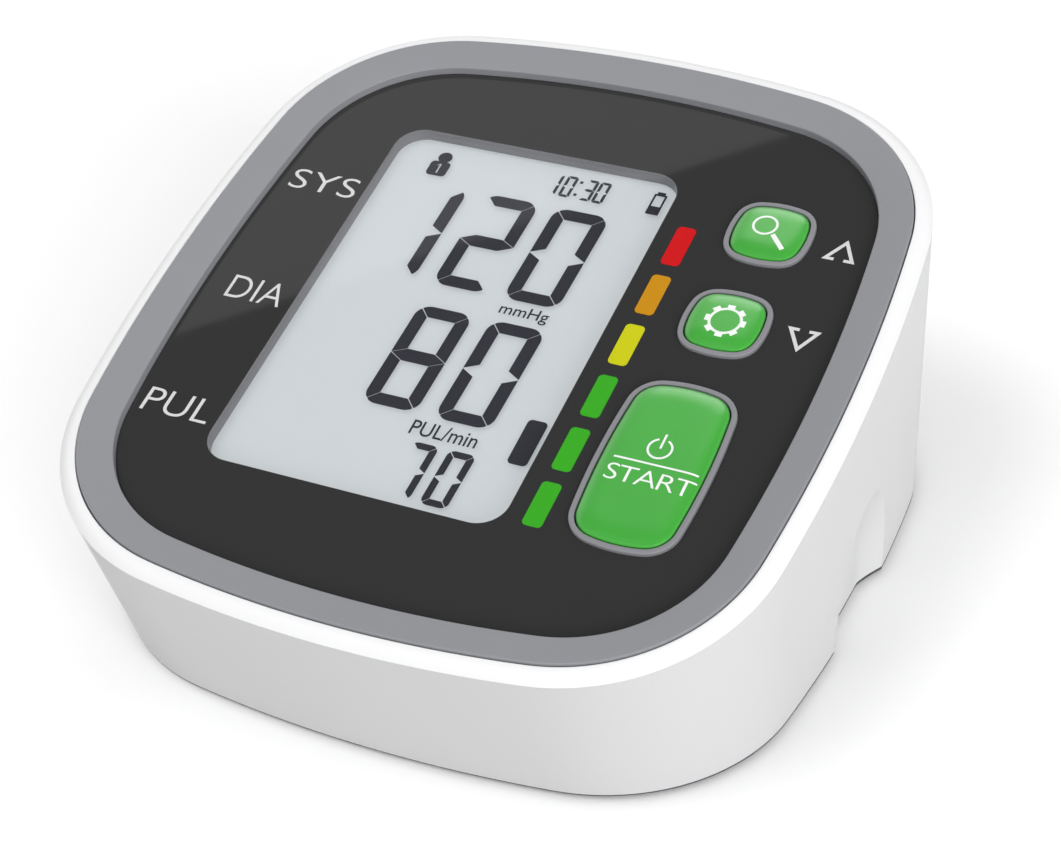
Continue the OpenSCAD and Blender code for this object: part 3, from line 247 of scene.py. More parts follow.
def stroke(path: list[Point], width: float, closed: bool = False) -> list[list[Point]]:
    """Draws a line of constant width along a path, with mitred turns.

    Args:
        path: The line's middle.
        width: The line's width.
        closed: Whether the last point joins the first.

    Returns:
        One four-sided outline for each step of the path.
    """
    least_mitre = 0.3
    count = len(path)
    left: list[Vector] = []
    right: list[Vector] = []
    for i, place in enumerate(path):
        here = Vector(place)
        before = Vector(path[(i - 1) % count]) if closed or i > 0 else None
        after = Vector(path[(i + 1) % count]) if closed or i < count - 1 else None
        ways = [(here - before).normalized()] if before else []
        ways += [(after - here).normalized()] if after else []
        normals = [Vector((-w.y, w.x)) for w in ways]
        middle = sum(normals, Vector((0, 0))).normalized()
        reach = width / 2 / max(least_mitre, middle.dot(normals[0]))
        left.append(here + middle * reach)
        right.append(here - middle * reach)
    steps = count if closed else count - 1
    following = [(i + 1) % count for i in range(count)]
    return [[tuple(right[i]), tuple(right[following[i]]), tuple(left[following[i]]), tuple(left[i])]
            for i in range(steps)]


@contextmanager
def editing(mesh: bpy.types.Mesh) -> Iterator[bmesh.types.BMesh]:
    """Opens a mesh for changes and writes them back to it.

    Args:
        mesh: The mesh.

    Yields:
        The mesh in the form that can be changed.
    """
    work = bmesh.new()
    work.from_mesh(mesh)
    yield work
    work.to_mesh(mesh)
    work.free()


def in_scene(name: str, data: bpy.types.ID) -> bpy.types.Object:
    """Makes an object of a mesh, words, a light or a camera, and puts it in the scene.

    Args:
        name: The object's name.
        data: What it is made of.

    Returns:
        The object.
    """
    made = bpy.data.objects.new(name, data)
    bpy.context.scene.collection.objects.link(made)
    return made


class Skin:
    """Collects the points and faces of one mesh, with a finish number for each face."""

    def __init__(self) -> None:
        """Starts with nothing in it."""
        self.points: list[Vector] = []
        self.faces: list[tuple[int, ...]] = []
        self.finish_of: list[int] = []
        self.creases: set[frozenset[int]] = set()

    def ring(self, points: Iterable[Iterable[float]]) -> list[int]:
        """Adds points.

        Args:
            points: The points.

        Returns:
            Their numbers.
        """
        start = len(self.points)
        self.points += [Vector(p) for p in points]
        return list(range(start, len(self.points)))

    def face(self, corners: Iterable[int], finish: int = 0) -> None:
        """Adds one face."""
        self.faces.append(tuple(corners))
        self.finish_of.append(finish)

    def band(self, low: list[int], high: list[int], finish: int = 0) -> None:
        """Joins two rings of the same number of points with a band of faces.

        Args:
            low: The lower or outer ring.
            high: The other ring.
            finish: The faces' finish number.
        """
        for i in range(len(low)):
            j = (i + 1) % len(low)
            self.face((low[i], low[j], high[j], high[i]), finish)

    def stack(self, rings: list[list[int]], finish: int = 0) -> None:
        """Joins each ring to the next."""
        for low, high in zip(rings, rings[1:]):
            self.band(low, high, finish)

    def crease(self, ring: list[int]) -> None:
        """Makes the edges along a ring crisp."""
        for i in range(len(ring)):
            self.creases.add(frozenset((ring[i], ring[(i + 1) % len(ring)])))

    def cap(self, outer: list[int], holes: Iterable[list[int]] = (), finish: int = 0) -> None:
        """Closes a ring with a flat face, leaving holes in it.

        Args:
            outer: The ring round the face.
            holes: Rings round the holes.
            finish: The face's finish number.
        """
        loops = [outer, *holes]
        if len(loops) == 1:
            self.face(outer, finish)
        else:
            numbers = [n for loop in loops for n in loop]
            for triangle in tessellate_polygon([[self.points[n] for n in loop] for loop in loops]):
                self.face([numbers[k] for k in triangle], finish)
        for loop in loops:
            self.crease(loop)

    def prism(self, outline: list[Point], low: float, high: float, holes: Iterable[list[Point]] = (),
              finish: int = 0) -> None:
        """Adds a flat solid with straight walls.

        Args:
            outline: The solid's outline.
            low: Height of its underside.
            high: Height of its top.
            holes: Outlines of the holes through it.
            finish: The finish number of its faces.
        """
        loops = [outline, *holes]
        floor = [self.ring((x, y, low) for x, y in loop) for loop in loops]
        top = [self.ring((x, y, high) for x, y in loop) for loop in loops]
        for a, b in zip(floor, top):
            self.band(a, b, finish)
        self.cap(floor[0], floor[1:], finish)
        self.cap(top[0], top[1:], finish)

    def mesh(self, name: str, sharp_angle: float = CRISP_ANGLE) -> bpy.types.Mesh:
        """Turns what was collected into a mesh with smooth faces and crisp creases.

        Args:
            name: The mesh's name.
            sharp_angle: Edges that bend more than this many degrees stay crisp.

        Returns:
            The mesh, its faces outwards.
        """
        mesh = bpy.data.meshes.new(name)
        mesh.from_pydata(self.points, [], self.faces)
        mesh.polygons.foreach_set("material_index", self.finish_of)
        with editing(mesh) as work:
            for edge in work.edges:
                if frozenset(v.index for v in edge.verts) in self.creases:
                    edge.smooth = False
            bmesh.ops.recalc_face_normals(work, faces=work.faces)
            soften(work, sharp_angle)
        return mesh


def soften(work: bmesh.types.BMesh, sharp_angle: float) -> None:
    """Shades faces smoothly and keeps edges crisp that bend more than an angle.

    Args:
        work: The mesh being worked on.
        sharp_angle: The angle in degrees.
    """
    limit = math.radians(sharp_angle)
    for face in work.faces:
        face.smooth = True
    for edge in work.edges:
        if len(edge.link_faces) == 2 and edge.calc_face_angle(0.0) > limit:
            edge.smooth = False


@dataclass(frozen=True)
class Face:
    """The sloping face's frame: where its middle is and how far it tilts."""

    middle_y: float
    middle_z: float
    tilt: float

    def matrix(self) -> Matrix:
        """Gives the matrix from the face's millimetres to the object's millimetres."""
        place = Matrix.Translation((0, self.middle_y, self.middle_z))
        return place @ Matrix.Rotation(math.radians(self.tilt), 4, "X")

    def at(self, u: float, v: float, h: float) -> Vector:
        """Gives the object's point for a point of the face."""
        return self.matrix() @ Vector((u, v, h))

    def height(self, point: Vector) -> float:
        """Gives how high a point stands over the panel's plane."""
        tilt = math.radians(self.tilt)
        return (point.z - self.middle_z) * math.cos(tilt) - (point.y - self.middle_y) * math.sin(tilt)

    def placed(self, mesh: bpy.types.Mesh) -> bpy.types.Mesh:
        """Moves a mesh from the face's frame to the object's frame."""
        mesh.transform(self.matrix())
        return mesh


# ------------------------------------------------------------------ finishes


class Grain(Enum):
    """The kinds of fine surface detail."""

    MOULDED = "moulded"
    BRUSHED = "brushed"
    SPECKLED = "speckled"


@dataclass(frozen=True)
class Finish:
    """A finish: its colour, its sheen and its fine surface detail."""

    name: str
    colour: Colour
    roughness: float = 0.42
    metallic: float = 0.0
    grain: Grain = Grain.MOULDED
    grain_size: float = 0.35
    grain_depth: float = 0.004
    mottle: float = 0.03
    mottle_size: float = 9.0
    rough_swing: float = 0.04
    coat: float = 0.0
    coat_roughness: float = 0.05
    alpha: float = 1.0
    specular: float = 0.5
    subsurface: float = 0.0
    scatter: float = 1.2
    index: float = 1.5
    # Emission strength of the colour: painted light, a glow that no lamp gives
    painted_glow: float = 0.0

    def material(self) -> bpy.types.Material:
        """Builds the material once and gives the same one afterwards."""
        name = f"fine_{self.name}"
        known = bpy.data.materials.get(name)
        if known:
            return known
        material = bpy.data.materials.new(name)
        material.use_nodes = True
        tree = material.node_tree
        shader = tree.nodes["Principled BSDF"]
        self.set_sockets(shader)
        place = tree.nodes.new("ShaderNodeTexCoord").outputs["Object"]
        self.colour_nodes(tree, place, shader)
        self.sheen_nodes(tree, place, shader)
        self.bump_nodes(tree, place, shader)
        if self.alpha < 1:
            material.surface_render_method = "BLENDED"
        return material

    def set_sockets(self, shader: bpy.types.Node) -> None:
        """Sets the values that are the same all over the surface.

        Args:
            shader: The shader that gets them.
        """
        shader.inputs["Metallic"].default_value = self.metallic
        shader.inputs["IOR"].default_value = self.index
        shader.inputs["Alpha"].default_value = self.alpha
        shader.inputs["Specular IOR Level"].default_value = self.specular
        shader.inputs["Coat Weight"].default_value = self.coat
        shader.inputs["Coat Roughness"].default_value = self.coat_roughness
        shader.inputs["Subsurface Weight"].default_value = self.subsurface
        shader.inputs["Subsurface Scale"].default_value = self.scatter * MM
        # Emission is painted light; only the display's reflector uses it, to lift its edges out of the
        # window's shade
        shader.inputs["Emission Color"].default_value = (*self.colour, 1)
        shader.inputs["Emission Strength"].default_value = self.painted_glow

    def noise(self, tree: bpy.types.NodeTree, place: bpy.types.NodeSocket, size: float,
              detail: float = 2.0, stretch: float = 1.0) -> bpy.types.NodeSocket:
        """Adds a noise whose cells have a real size.

        Args:
            tree: The material's nodes.
            place: Where on the piece the noise is read.
            size: Size of the cells in millimetres.
            detail: How many finer layers it has.
            stretch: How much longer the cells are along X.

        Returns:
            The socket with the noise, from 0 to 1.
        """
        mapping = tree.nodes.new("ShaderNodeMapping")
        mapping.inputs["Scale"].default_value = (1 / stretch, 1, 1)
        noise = tree.nodes.new("ShaderNodeTexNoise")
        noise.inputs["Scale"].default_value = 1 / (size * MM)
        noise.inputs["Detail"].default_value = detail
        tree.links.new(place, mapping.inputs["Vector"])
        tree.links.new(mapping.outputs["Vector"], noise.inputs["Vector"])
        return noise.outputs["Fac"]

    def colour_nodes(self, tree: bpy.types.NodeTree, place: bpy.types.NodeSocket,
                     shader: bpy.types.Node) -> None:
        """Varies the colour a little over the surface.

        Args:
            tree: The material's nodes.
            place: Where on the piece the colour is read.
            shader: The shader that gets it.
        """
        mix = tree.nodes.new("ShaderNodeMix")
        mix.data_type = "RGBA"
        low = [max(0.0, c * (1 - self.mottle)) for c in self.colour]
        high = [min(1.0, c * (1 + self.mottle)) for c in self.colour]
        mix.inputs["A"].default_value = (*low, 1)
        mix.inputs["B"].default_value = (*high, 1)
        tree.links.new(self.noise(tree, place, self.mottle_size), mix.inputs["Factor"])
        tree.links.new(mix.outputs["Result"], shader.inputs["Base Color"])

    def sheen_nodes(self, tree: bpy.types.NodeTree, place: bpy.types.NodeSocket,
                    shader: bpy.types.Node) -> None:
        """Varies the roughness a little over the surface, in smaller spots than the colour.

        Args:
            tree: The material's nodes.
            place: Where on the piece the roughness is read.
            shader: The shader that gets it.
        """
        size, detail = self.mottle_size / 3, 4.0
        swing = tree.nodes.new("ShaderNodeMapRange")
        swing.inputs["To Min"].default_value = max(0.0, self.roughness - self.rough_swing)
        swing.inputs["To Max"].default_value = min(1.0, self.roughness + self.rough_swing)
        tree.links.new(self.noise(tree, place, size, detail), swing.inputs["Value"])
        tree.links.new(swing.outputs["Result"], shader.inputs["Roughness"])

    def bump_nodes(self, tree: bpy.types.NodeTree, place: bpy.types.NodeSocket,
                   shader: bpy.types.Node) -> None:
        """Adds the fine texture of the mould, the brush or the grit.

        Args:
            tree: The material's nodes.
            place: Where on the piece the texture is read.
            shader: The shader that gets it.
        """
        if self.grain_depth <= 0:
            return
        stretch = 25.0 if self.grain is Grain.BRUSHED else 1.0
        detail = 5.0 if self.grain is Grain.SPECKLED else 3.0
        bump = tree.nodes.new("ShaderNodeBump")
        bump.inputs["Strength"].default_value = 1.0
        bump.inputs["Distance"].default_value = self.grain_depth * MM
        height = self.noise(tree, place, self.grain_size, detail, stretch)
        tree.links.new(height, bump.inputs["Height"])
        tree.links.new(bump.outputs["Normal"], shader.inputs["Normal"])


@dataclass(frozen=True)
class BoardFinish(Finish):
    """Solder mask over copper tracks: fine lines of a lighter green that cross the board."""

    track: Colour = (0.03, 0.17, 0.06)
    track_pitch: float = 1.3
    track_run: float = 7.0
    track_share: float = 0.14
    shade: float = 0.85

    def colour_nodes(self, tree: bpy.types.NodeTree, place: bpy.types.NodeSocket,
                     shader: bpy.types.Node) -> None:
        """Draws the tracks as the lines between bricks.

        Args:
            tree: The material's nodes.
            place: Where on the board the tracks are read.
            shader: The shader that gets their colour.
        """
        bricks = tree.nodes.new("ShaderNodeTexBrick")
        bricks.inputs["Scale"].default_value = 1 / (self.track_pitch * MM)
        bricks.inputs["Brick Width"].default_value = self.track_run
        bricks.inputs["Row Height"].default_value = 1.0
        bricks.inputs["Mortar Size"].default_value = self.track_share
        bricks.inputs["Color1"].default_value = (*self.colour, 1)
        bricks.inputs["Color2"].default_value = (*[c * self.shade for c in self.colour], 1)
        bricks.inputs["Mortar"].default_value = (*self.track, 1)
        tree.links.new(place, bricks.inputs["Vector"])
        tree.links.new(bricks.outputs["Color"], shader.inputs["Base Color"])


@dataclass(frozen=True)
class Finishes:
    """Every finish of the monitor."""

    casing: Finish = Finish("casing_white", srgb(229, 229, 230), 0.38, grain_size=0.3, grain_depth=0.0025,
                            mottle=0.006, mottle_size=30)
    trim: Finish = Finish("trim_grey", srgb(136, 137, 141), 0.36, grain_size=0.25, grain_depth=0.003,
                          mottle=0.02, specular=0.3)
    panel: Finish = Finish("panel_black", (0.0275, 0.0275, 0.028), 0.03, grain_size=25, grain_depth=0.0,
                           rough_swing=0.012, mottle=0.02)
    recess: Finish = Finish("recess_grey", srgb(112, 112, 115), 0.3, grain_depth=0.002)
    lens: Finish = Finish("lens_clear", (1.0, 1.0, 1.0), 0.03, metallic=1.0, alpha=0.027, grain_depth=0.0,
                          mottle=0.0, rough_swing=0.01)
    bezel: Finish = Finish("bezel_grey", srgb(130, 130, 135), 0.3, grain_size=0.2, grain_depth=0.002)
    key: Finish = Finish("key_green", (0.043, 0.355, 0.034), 0.3, grain_size=0.25, grain_depth=0.002,
                         mottle=0.03, coat=0.4, coat_roughness=0.2, subsurface=0.08)
    red: Finish = Finish("ink_red", (0.53, 0.003, 0.005), 0.3, grain_depth=0.001, specular=0.15)
    orange: Finish = Finish("ink_orange", (0.5, 0.225, 0.003), 0.3, grain_depth=0.001, specular=0.15)
    yellow: Finish = Finish("ink_yellow", (0.51, 0.51, 0.004), 0.3, grain_depth=0.001, specular=0.15)
    green: Finish = Finish("ink_green", (0.036, 0.35, 0.014), 0.3, grain_depth=0.001, specular=0.15)
    label: Finish = Finish("ink_white", srgb(202, 202, 202), 0.4, grain_depth=0.001, specular=0.3)
    key_label: Finish = Finish("ink_key_white", srgb(230, 234, 230), 0.4, grain_depth=0.001)
    # The reflector glows: painted light that fills the shade the window's walls cast on its edges
    reflector: Finish = Finish("lcd_grey", srgb(129, 133, 135), 0.6, grain=Grain.SPECKLED, grain_size=0.3,
                               grain_depth=0.006, mottle=0.03, mottle_size=0.5, painted_glow=1.8)
    character: Finish = Finish("lcd_dark", (0.026, 0.027, 0.036), 0.5, grain_depth=0.0, mottle=0.1,
                               specular=0.1)
    clear_layer: Finish = Finish("lcd_clear", (0.9, 0.95, 1.0), 0.1, alpha=0.012, grain_depth=0.0,
                                 specular=0.0)
    inner: Finish = Finish("inner_white", srgb(224, 224, 222), 0.5)
    # A dark grey band along the wall's foot: a painted shadow of the gap under the case, not a colour of
    # the white case
    painted_foot_shadow: Finish = Finish("painted_foot_shadow_grey", srgb(66, 67, 70), 0.6, grain_depth=0.003)
    base: Finish = Finish("base_grey", srgb(150, 151, 155), 0.5, grain_size=0.4, grain_depth=0.006)
    dark: Finish = Finish("dark_plastic", srgb(42, 42, 44), 0.45, grain_size=0.4, grain_depth=0.006)
    board: Finish = BoardFinish("board_green", (0.012, 0.095, 0.035), 0.35, grain_depth=0.002)
    steel: Finish = Finish("screw_steel", srgb(190, 190, 188), 0.28, metallic=1.0, grain=Grain.BRUSHED,
                           grain_size=0.08, grain_depth=0.002)
    brass: Finish = Finish("contact_brass", srgb(214, 178, 96), 0.25, metallic=1.0, grain=Grain.BRUSHED,
                           grain_size=0.08, grain_depth=0.002)
    cell: Finish = Finish("cell_wrap", srgb(196, 160, 84), 0.32, mottle=0.05, grain_depth=0.002, coat=0.3)
    magnet: Finish = Finish("magnet_grey", srgb(72, 72, 76), 0.6, grain_size=0.2, grain_depth=0.01)
    copper: Finish = Finish("copper_winding", srgb(200, 118, 76), 0.35, metallic=1.0,
                            grain=Grain.BRUSHED, grain_size=0.2, grain_depth=0.03)
    diaphragm: Finish = Finish("diaphragm_rubber", srgb(184, 82, 48), 0.6, grain_depth=0.005)
    tube: Finish = Finish("soft_tube", srgb(226, 226, 216), 0.45, subsurface=0.2, grain_depth=0.003)
    foot: Finish = Finish("foot_rubber", srgb(58, 58, 60), 0.75, grain_size=0.25, grain_depth=0.02,
                          mottle=0.12, mottle_size=1.5)


FINISHES = Finishes()

# The finish of each CAD node that stays as it is
NODE_FINISHES: dict[str, tuple[str, ...]] = {
    "base": ("bottom_case", "battery_door"),
    "foot": ("rubber_feet", "pump_cradle"),
    "steel": ("case_screws", "board_screws", "battery_springs", "battery_contacts", "motor_can",
              "valve_frame", "valve_plunger", "valve_spring"),
    "dark": ("start_plunger", "memory_plunger", "settings_plunger", "key_switches", "board_chips",
             "buzzer", "dc_jack", "motor_end_cap", "pump_housing", "pump_head", "valve_seal"),
    "inner": ("lcd_frame", "lcd_backlight", "pressure_sensor", "crank_hub", "pump_rocker",
              "air_manifold", "air_socket", "valve_block"),
    "board": ("main_board", "power_board"),
    "brass": ("jack_pin",),
    "cell": ("batteries",),
    "magnet": ("motor_magnets",),
    "copper": ("motor_rotor", "valve_coil"),
    "diaphragm": ("pump_diaphragm", "lcd_connector"),
    "tube": ("pump_tube", "socket_tube", "valve_tube", "sensor_tube"),
}


# ------------------------------------------------------------------ placing


def finished(name: str, mesh: bpy.types.Mesh, finishes: Iterable[Finish], body: str,
             replaced: Iterable[str] = ()) -> bpy.types.Object:
    """Makes a mesh a piece of the object, on its body and in its slot.

    Args:
        name: The piece's name.
        mesh: Its mesh, in the object's millimetres.
        finishes: The finishes that its faces number.
        body: The CAD body that it rides on.
        replaced: The CAD nodes that it stands for.

    Returns:
        The piece, at the origin and in metres.
    """
    mesh.transform(Matrix.Scale(MM, 4))
    numbers = [face.material_index for face in mesh.polygons]
    mesh.materials.clear()
    for finish in finishes:
        mesh.materials.append(finish.material())
    mesh.polygons.foreach_set("material_index", numbers)
    piece = in_scene(name, mesh)
    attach(piece, body)
    nodes = list(replaced)
    if nodes:
        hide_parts(*nodes)
    log.info("%s: %d faces, on %s", name, len(mesh.polygons), body)
    return piece


def cut_by(mesh: bpy.types.Mesh, cutters: Iterable[bpy.types.Mesh], slots: int) -> bpy.types.Mesh:
    """Cuts solids out of a mesh.

    Args:
        mesh: The mesh to cut.
        cutters: Closed meshes in the same millimetres.
        slots: How many finishes its faces number. Each needs an empty slot to outlast the cut.

    Returns:
        The cut mesh.
    """
    for _ in range(slots):
        mesh.materials.append(None)
    work = in_scene("work", mesh)
    tools = []
    for cutter in cutters:
        tool = in_scene("tool", cutter)
        boolean = work.modifiers.new("cut", "BOOLEAN")
        boolean.operation = "DIFFERENCE"
        boolean.solver = "EXACT"
        boolean.object = tool
        tools.append(tool)
    bpy.context.view_layer.update()
    graph = bpy.context.evaluated_depsgraph_get()
    result = bpy.data.meshes.new_from_object(work.evaluated_get(graph))
    for spare in [work, *tools]:
        bpy.data.objects.remove(spare)
    return result


@dataclass(frozen=True)
class Label:
    """Plain words, the corners of the box that they fill, and how they are set."""

    words: str
    low: Point
    high: Point
    weight: float = 0.0
    spacing: float = 1.0

    def mesh(self, bottom: float, top: float) -> bpy.types.Mesh:
        """Sets the words in the plain built-in letters, as a thin solid that fills the box.

        Args:
            bottom: Height of the letters' underside.
            top: Height of their top.

        Returns:
            The mesh of the letters.
        """
        low, high = Vector((*self.low, bottom)), Vector((*self.high, top))
        curve = bpy.data.curves.new("words", "FONT")
        curve.body = self.words
        # Any depth will do, because the box sets the real one
        curve.extrude = 0.5
        curve.offset = self.weight
        curve.space_character = self.spacing
        curve.resolution_u = 6
        text = in_scene("words", curve)
        bpy.context.view_layer.update()
        mesh = bpy.data.meshes.new_from_object(text)
        bpy.data.objects.remove(text)
        bpy.data.curves.remove(curve)
        corners = [Vector(f(v.co[k] for v in mesh.vertices) for k in range(3)) for f in (min, max)]
        size = corners[1] - corners[0]
        for vertex in mesh.vertices:
            share = Vector((vertex.co[k] - corners[0][k]) / size[k] for k in range(3))
            vertex.co = Vector(low[k] + share[k] * (high[k] - low[k]) for k in range(3))
        touching = 1e-4
        with editing(mesh) as work:
            bmesh.ops.remove_doubles(work, verts=work.verts, dist=touching)
            bmesh.ops.recalc_face_normals(work, faces=work.faces)
        return mesh


def joined(meshes: Iterable[bpy.types.Mesh], name: str) -> bpy.types.Mesh:
    """Puts several meshes in one, and removes them.

    Args:
        meshes: The meshes.
        name: The new mesh's name.

    Returns:
        The new mesh.
    """
    work = bmesh.new()
    parts = list(meshes)
    for part in parts:
        work.from_mesh(part)
    result = bpy.data.meshes.new(name)
    work.to_mesh(result)
    work.free()
    for part in parts:
        bpy.data.meshes.remove(part)
    return result


def lay_on(mesh: bpy.types.Mesh, ground: BVHTree, lift: float, step: float, passes: int = 4) -> None:
    """Lays flat marks on a curved surface, straight down from above.

    Args:
        mesh: Marks whose heights are counted from the surface.
        ground: The surface.
        lift: Height from which the marks are let down.
        step: Edges longer than this are halved first.
        passes: How often they are halved at most.
    """
    with editing(mesh) as work:
        bmesh.ops.triangulate(work, faces=work.faces)
        for _ in range(passes):
            long_edges = [e for e in work.edges if e.calc_length() > step]
            if not long_edges:
                break
            bmesh.ops.subdivide_edges(work, edges=long_edges, cuts=1)
            bmesh.ops.triangulate(work, faces=work.faces)
        for vertex in work.verts:
            hit = ground.ray_cast(Vector((vertex.co.x, vertex.co.y, lift)), Vector((0, 0, -1)))[0]
            if hit is not None:
                vertex.co.z += hit.z


# ------------------------------------------------------------------ repeated pieces


class Tree:
    """A geometry node tree that is built step by step."""

    def __init__(self, name: str) -> None:
        """Starts a tree with one geometry output.

        Args:
            name: The tree's name.
        """
        self.group = bpy.data.node_groups.new(name, "GeometryNodeTree")
        self.group.interface.new_socket(name="Geometry", in_out="OUTPUT", socket_type="NodeSocketGeometry")
        self.inputs = self.group.nodes.new("NodeGroupInput")
        self.values: dict[str, object] = {}

    def size(self, name: str, value: float | int | bpy.types.Material) -> bpy.types.NodeSocket:
        """Adds a named input and remembers the value that the modifier gets.

        Args:
            name: The input's name.
            value: Its value: a length, a count or a material.

        Returns:
            The socket inside the tree.
        """
        kinds = {float: "NodeSocketFloat", int: "NodeSocketInt"}
        kind = kinds.get(type(value), "NodeSocketMaterial")
        socket = self.group.interface.new_socket(name=name, in_out="INPUT", socket_type=kind)
        self.values[socket.identifier] = value
        return self.inputs.outputs[name]

    def node(self, kind: str, settings: dict[str, object] | None = None,
             **sockets: object) -> bpy.types.Node:
        """Adds a node, sets its options and fills its sockets.

        Args:
            kind: The node's type.
            settings: Options of the node itself.
            sockets: Values or sockets for its inputs, spaces in their names written as underscores.

        Returns:
            The node.
        """
        node = self.group.nodes.new(kind)
        for option, value in (settings or {}).items():
            setattr(node, option, value)
        for name, value in sockets.items():
            socket = node.inputs[name.replace("_", " ")]
            if isinstance(value, bpy.types.NodeSocket):
                self.group.links.new(value, socket)
            else:
                socket.default_value = value
        return node

    def computed(self, operation: str, first: bpy.types.NodeSocket,
                 second: bpy.types.NodeSocket | float) -> bpy.types.NodeSocket:
        """Adds a node that works one value out of two.

        Args:
            operation: What it does, such as ADD.
            first: The first value.
            second: The second value.

        Returns:
            The socket with the result.
        """
        node = self.group.nodes.new("ShaderNodeMath")
        node.operation = operation
        self.group.links.new(first, node.inputs[0])
        if isinstance(second, float):
            node.inputs[1].default_value = second
        else:
            self.group.links.new(second, node.inputs[1])
        return node.outputs[0]

    def join(self, *shapes: bpy.types.NodeSocket) -> bpy.types.NodeSocket:
        """Puts several shapes in one."""
        node = self.group.nodes.new("GeometryNodeJoinGeometry")
        for shape in shapes:
            self.group.links.new(shape, node.inputs["Geometry"])
        return node.outputs["Geometry"]

    def mesh(self, shape: bpy.types.NodeSocket, finish: Finish, name: str) -> bpy.types.Mesh:
        """Ends the tree, runs it and gives a plain mesh.

        Args:
            shape: The last shape of the tree.
            finish: The finish that Set Material gives.
            name: The mesh's name.

        Returns:
            The mesh.
        """
        coat = self.size("Material", finish.material())
        real = self.node("GeometryNodeRealizeInstances", Geometry=shape)
        dressed = self.node("GeometryNodeSetMaterial", Geometry=real.outputs[0], Material=coat)
        output = self.group.nodes.new("NodeGroupOutput")
        self.group.links.new(dressed.outputs[0], output.inputs[0])
        holder = in_scene(name, bpy.data.meshes.new("empty"))
        modifier = holder.modifiers.new("shape", "NODES")
        modifier.node_group = self.group
        for identifier, value in self.values.items():
            modifier[identifier] = value
        bpy.context.view_layer.update()
        graph = bpy.context.evaluated_depsgraph_get()
        result = bpy.data.meshes.new_from_object(holder.evaluated_get(graph))
        bpy.data.objects.remove(holder)
        return result


def thick(tree: Tree, curve: bpy.types.NodeSocket, thickness: bpy.types.NodeSocket) -> bpy.types.NodeSocket:
    """Fills a closed curve and gives it a thickness, closed below.

    Args:
        tree: The tree.
        curve: The closed curve.
        thickness: The thickness.

    Returns:
        The solid.
    """
    touching = 0.001
    filled = tree.node("GeometryNodeFillCurve", {"mode": "NGONS"}, Curve=curve).outputs[0]
    grown = tree.node("GeometryNodeExtrudeMesh", Mesh=filled, Offset_Scale=thickness).outputs[0]
    under = tree.node("GeometryNodeFlipFaces", Mesh=filled).outputs[0]
    both = tree.join(grown, under)
    return tree.node("GeometryNodeMergeByDistance", Geometry=both, Distance=touching).outputs[0]


@dataclass(frozen=True)
class BarRow:
    """Printed colour bars, one below the other."""

    width: float = 3.4
    length: float = 9.0
    radius: float = 0.8
    pitch: float = 11.6
    thickness: float = 0.08
    corner_steps: int = 8

    def mesh(self, first: Point, count: int, finish: Finish) -> bpy.types.Mesh:
        """Makes a row of bars with a geometry node tree.

        Args:
            first: The first bar's middle on the face.
            count: The number of bars.
            finish: Their finish.

        Returns:
            The mesh, in the face's frame.
        """
        tree = Tree("bar_row")
        width, length = tree.size("Width", self.width), tree.size("Length", self.length)
        radius, pitch = tree.size("Corner radius", self.radius), tree.size("Pitch", self.pitch)
        thickness, number = tree.size("Thickness", self.thickness), tree.size("Count", count)
        box = tree.node("GeometryNodeCurvePrimitiveQuadrilateral", Width=width, Height=length).outputs[0]
        rounded = tree.node("GeometryNodeFilletCurve", {"mode": "POLY"}, Curve=box, Radius=radius,
                            Count=self.corner_steps)
        bar = thick(tree, rounded.outputs[0], thickness)
        step = tree.node("ShaderNodeCombineXYZ", Y=tree.computed("MULTIPLY", pitch, -1.0)).outputs[0]
        start = (first[0], first[1], 0.0)
        line = tree.node("GeometryNodeMeshLine", Count=number, Start_Location=start, Offset=step)
        row = tree.node("GeometryNodeInstanceOnPoints", Points=line.outputs[0], Instance=bar).outputs[0]
        return tree.mesh(row, finish, "bars")


@dataclass(frozen=True)
class GearMark:
    """The settings key's mark: a ring with short teeth round it."""

    middle: Point = (36.08, 10.24)
    ring_r: float = 2.65
    ring_w: float = 0.5
    tooth_w: float = 1.3
    tooth_reach: float = 3.5
    teeth: int = 8
    ring_steps: int = 64

    def mesh(self, finish: Finish) -> bpy.types.Mesh:
        """Makes the mark with a geometry node tree.

        Args:
            finish: Its finish.

        Returns:
            The flat mark, in the face's frame.
        """
        tree = Tree("gear_mark")
        ring_r, ring_w = tree.size("Ring radius", self.ring_r), tree.size("Ring width", self.ring_w)
        tooth_w, film = tree.size("Tooth width", self.tooth_w), tree.size("Film", PRINT_T)
        tooth_l = tree.size("Tooth length", self.tooth_reach - self.ring_r)
        count = tree.size("Teeth", self.teeth)
        round_path = tree.node("GeometryNodeCurvePrimitiveCircle", Resolution=self.ring_steps,
                               Radius=ring_r).outputs[0]
        section = tree.node("GeometryNodeCurvePrimitiveQuadrilateral", Width=ring_w, Height=film).outputs[0]
        ring = tree.node("GeometryNodeCurveToMesh", Curve=round_path, Profile_Curve=section).outputs[0]
        box = tree.node("GeometryNodeCurvePrimitiveQuadrilateral", Width=tooth_l, Height=tooth_w).outputs[0]
        tooth = thick(tree, box, film)
        out = tree.computed("ADD", tree.computed("MULTIPLY", tooth_l, 0.5), ring_r)
        circle = tree.node("GeometryNodeMeshCircle", Vertices=count, Radius=out).outputs[0]
        place = tree.node("GeometryNodeInputPosition").outputs[0]
        turn = tree.node("FunctionNodeAlignRotationToVector", {"axis": "X"}, Vector=place).outputs[0]
        teeth = tree.node("GeometryNodeInstanceOnPoints", Points=circle, Instance=tooth, Rotation=turn)
        both = tree.join(ring, teeth.outputs[0])
        spot = (*self.middle, 0.0)
        placed = tree.node("GeometryNodeTransform", Geometry=both, Translation=spot).outputs[0]
        return tree.mesh(placed, finish, "gear")


# ------------------------------------------------------------------ casing


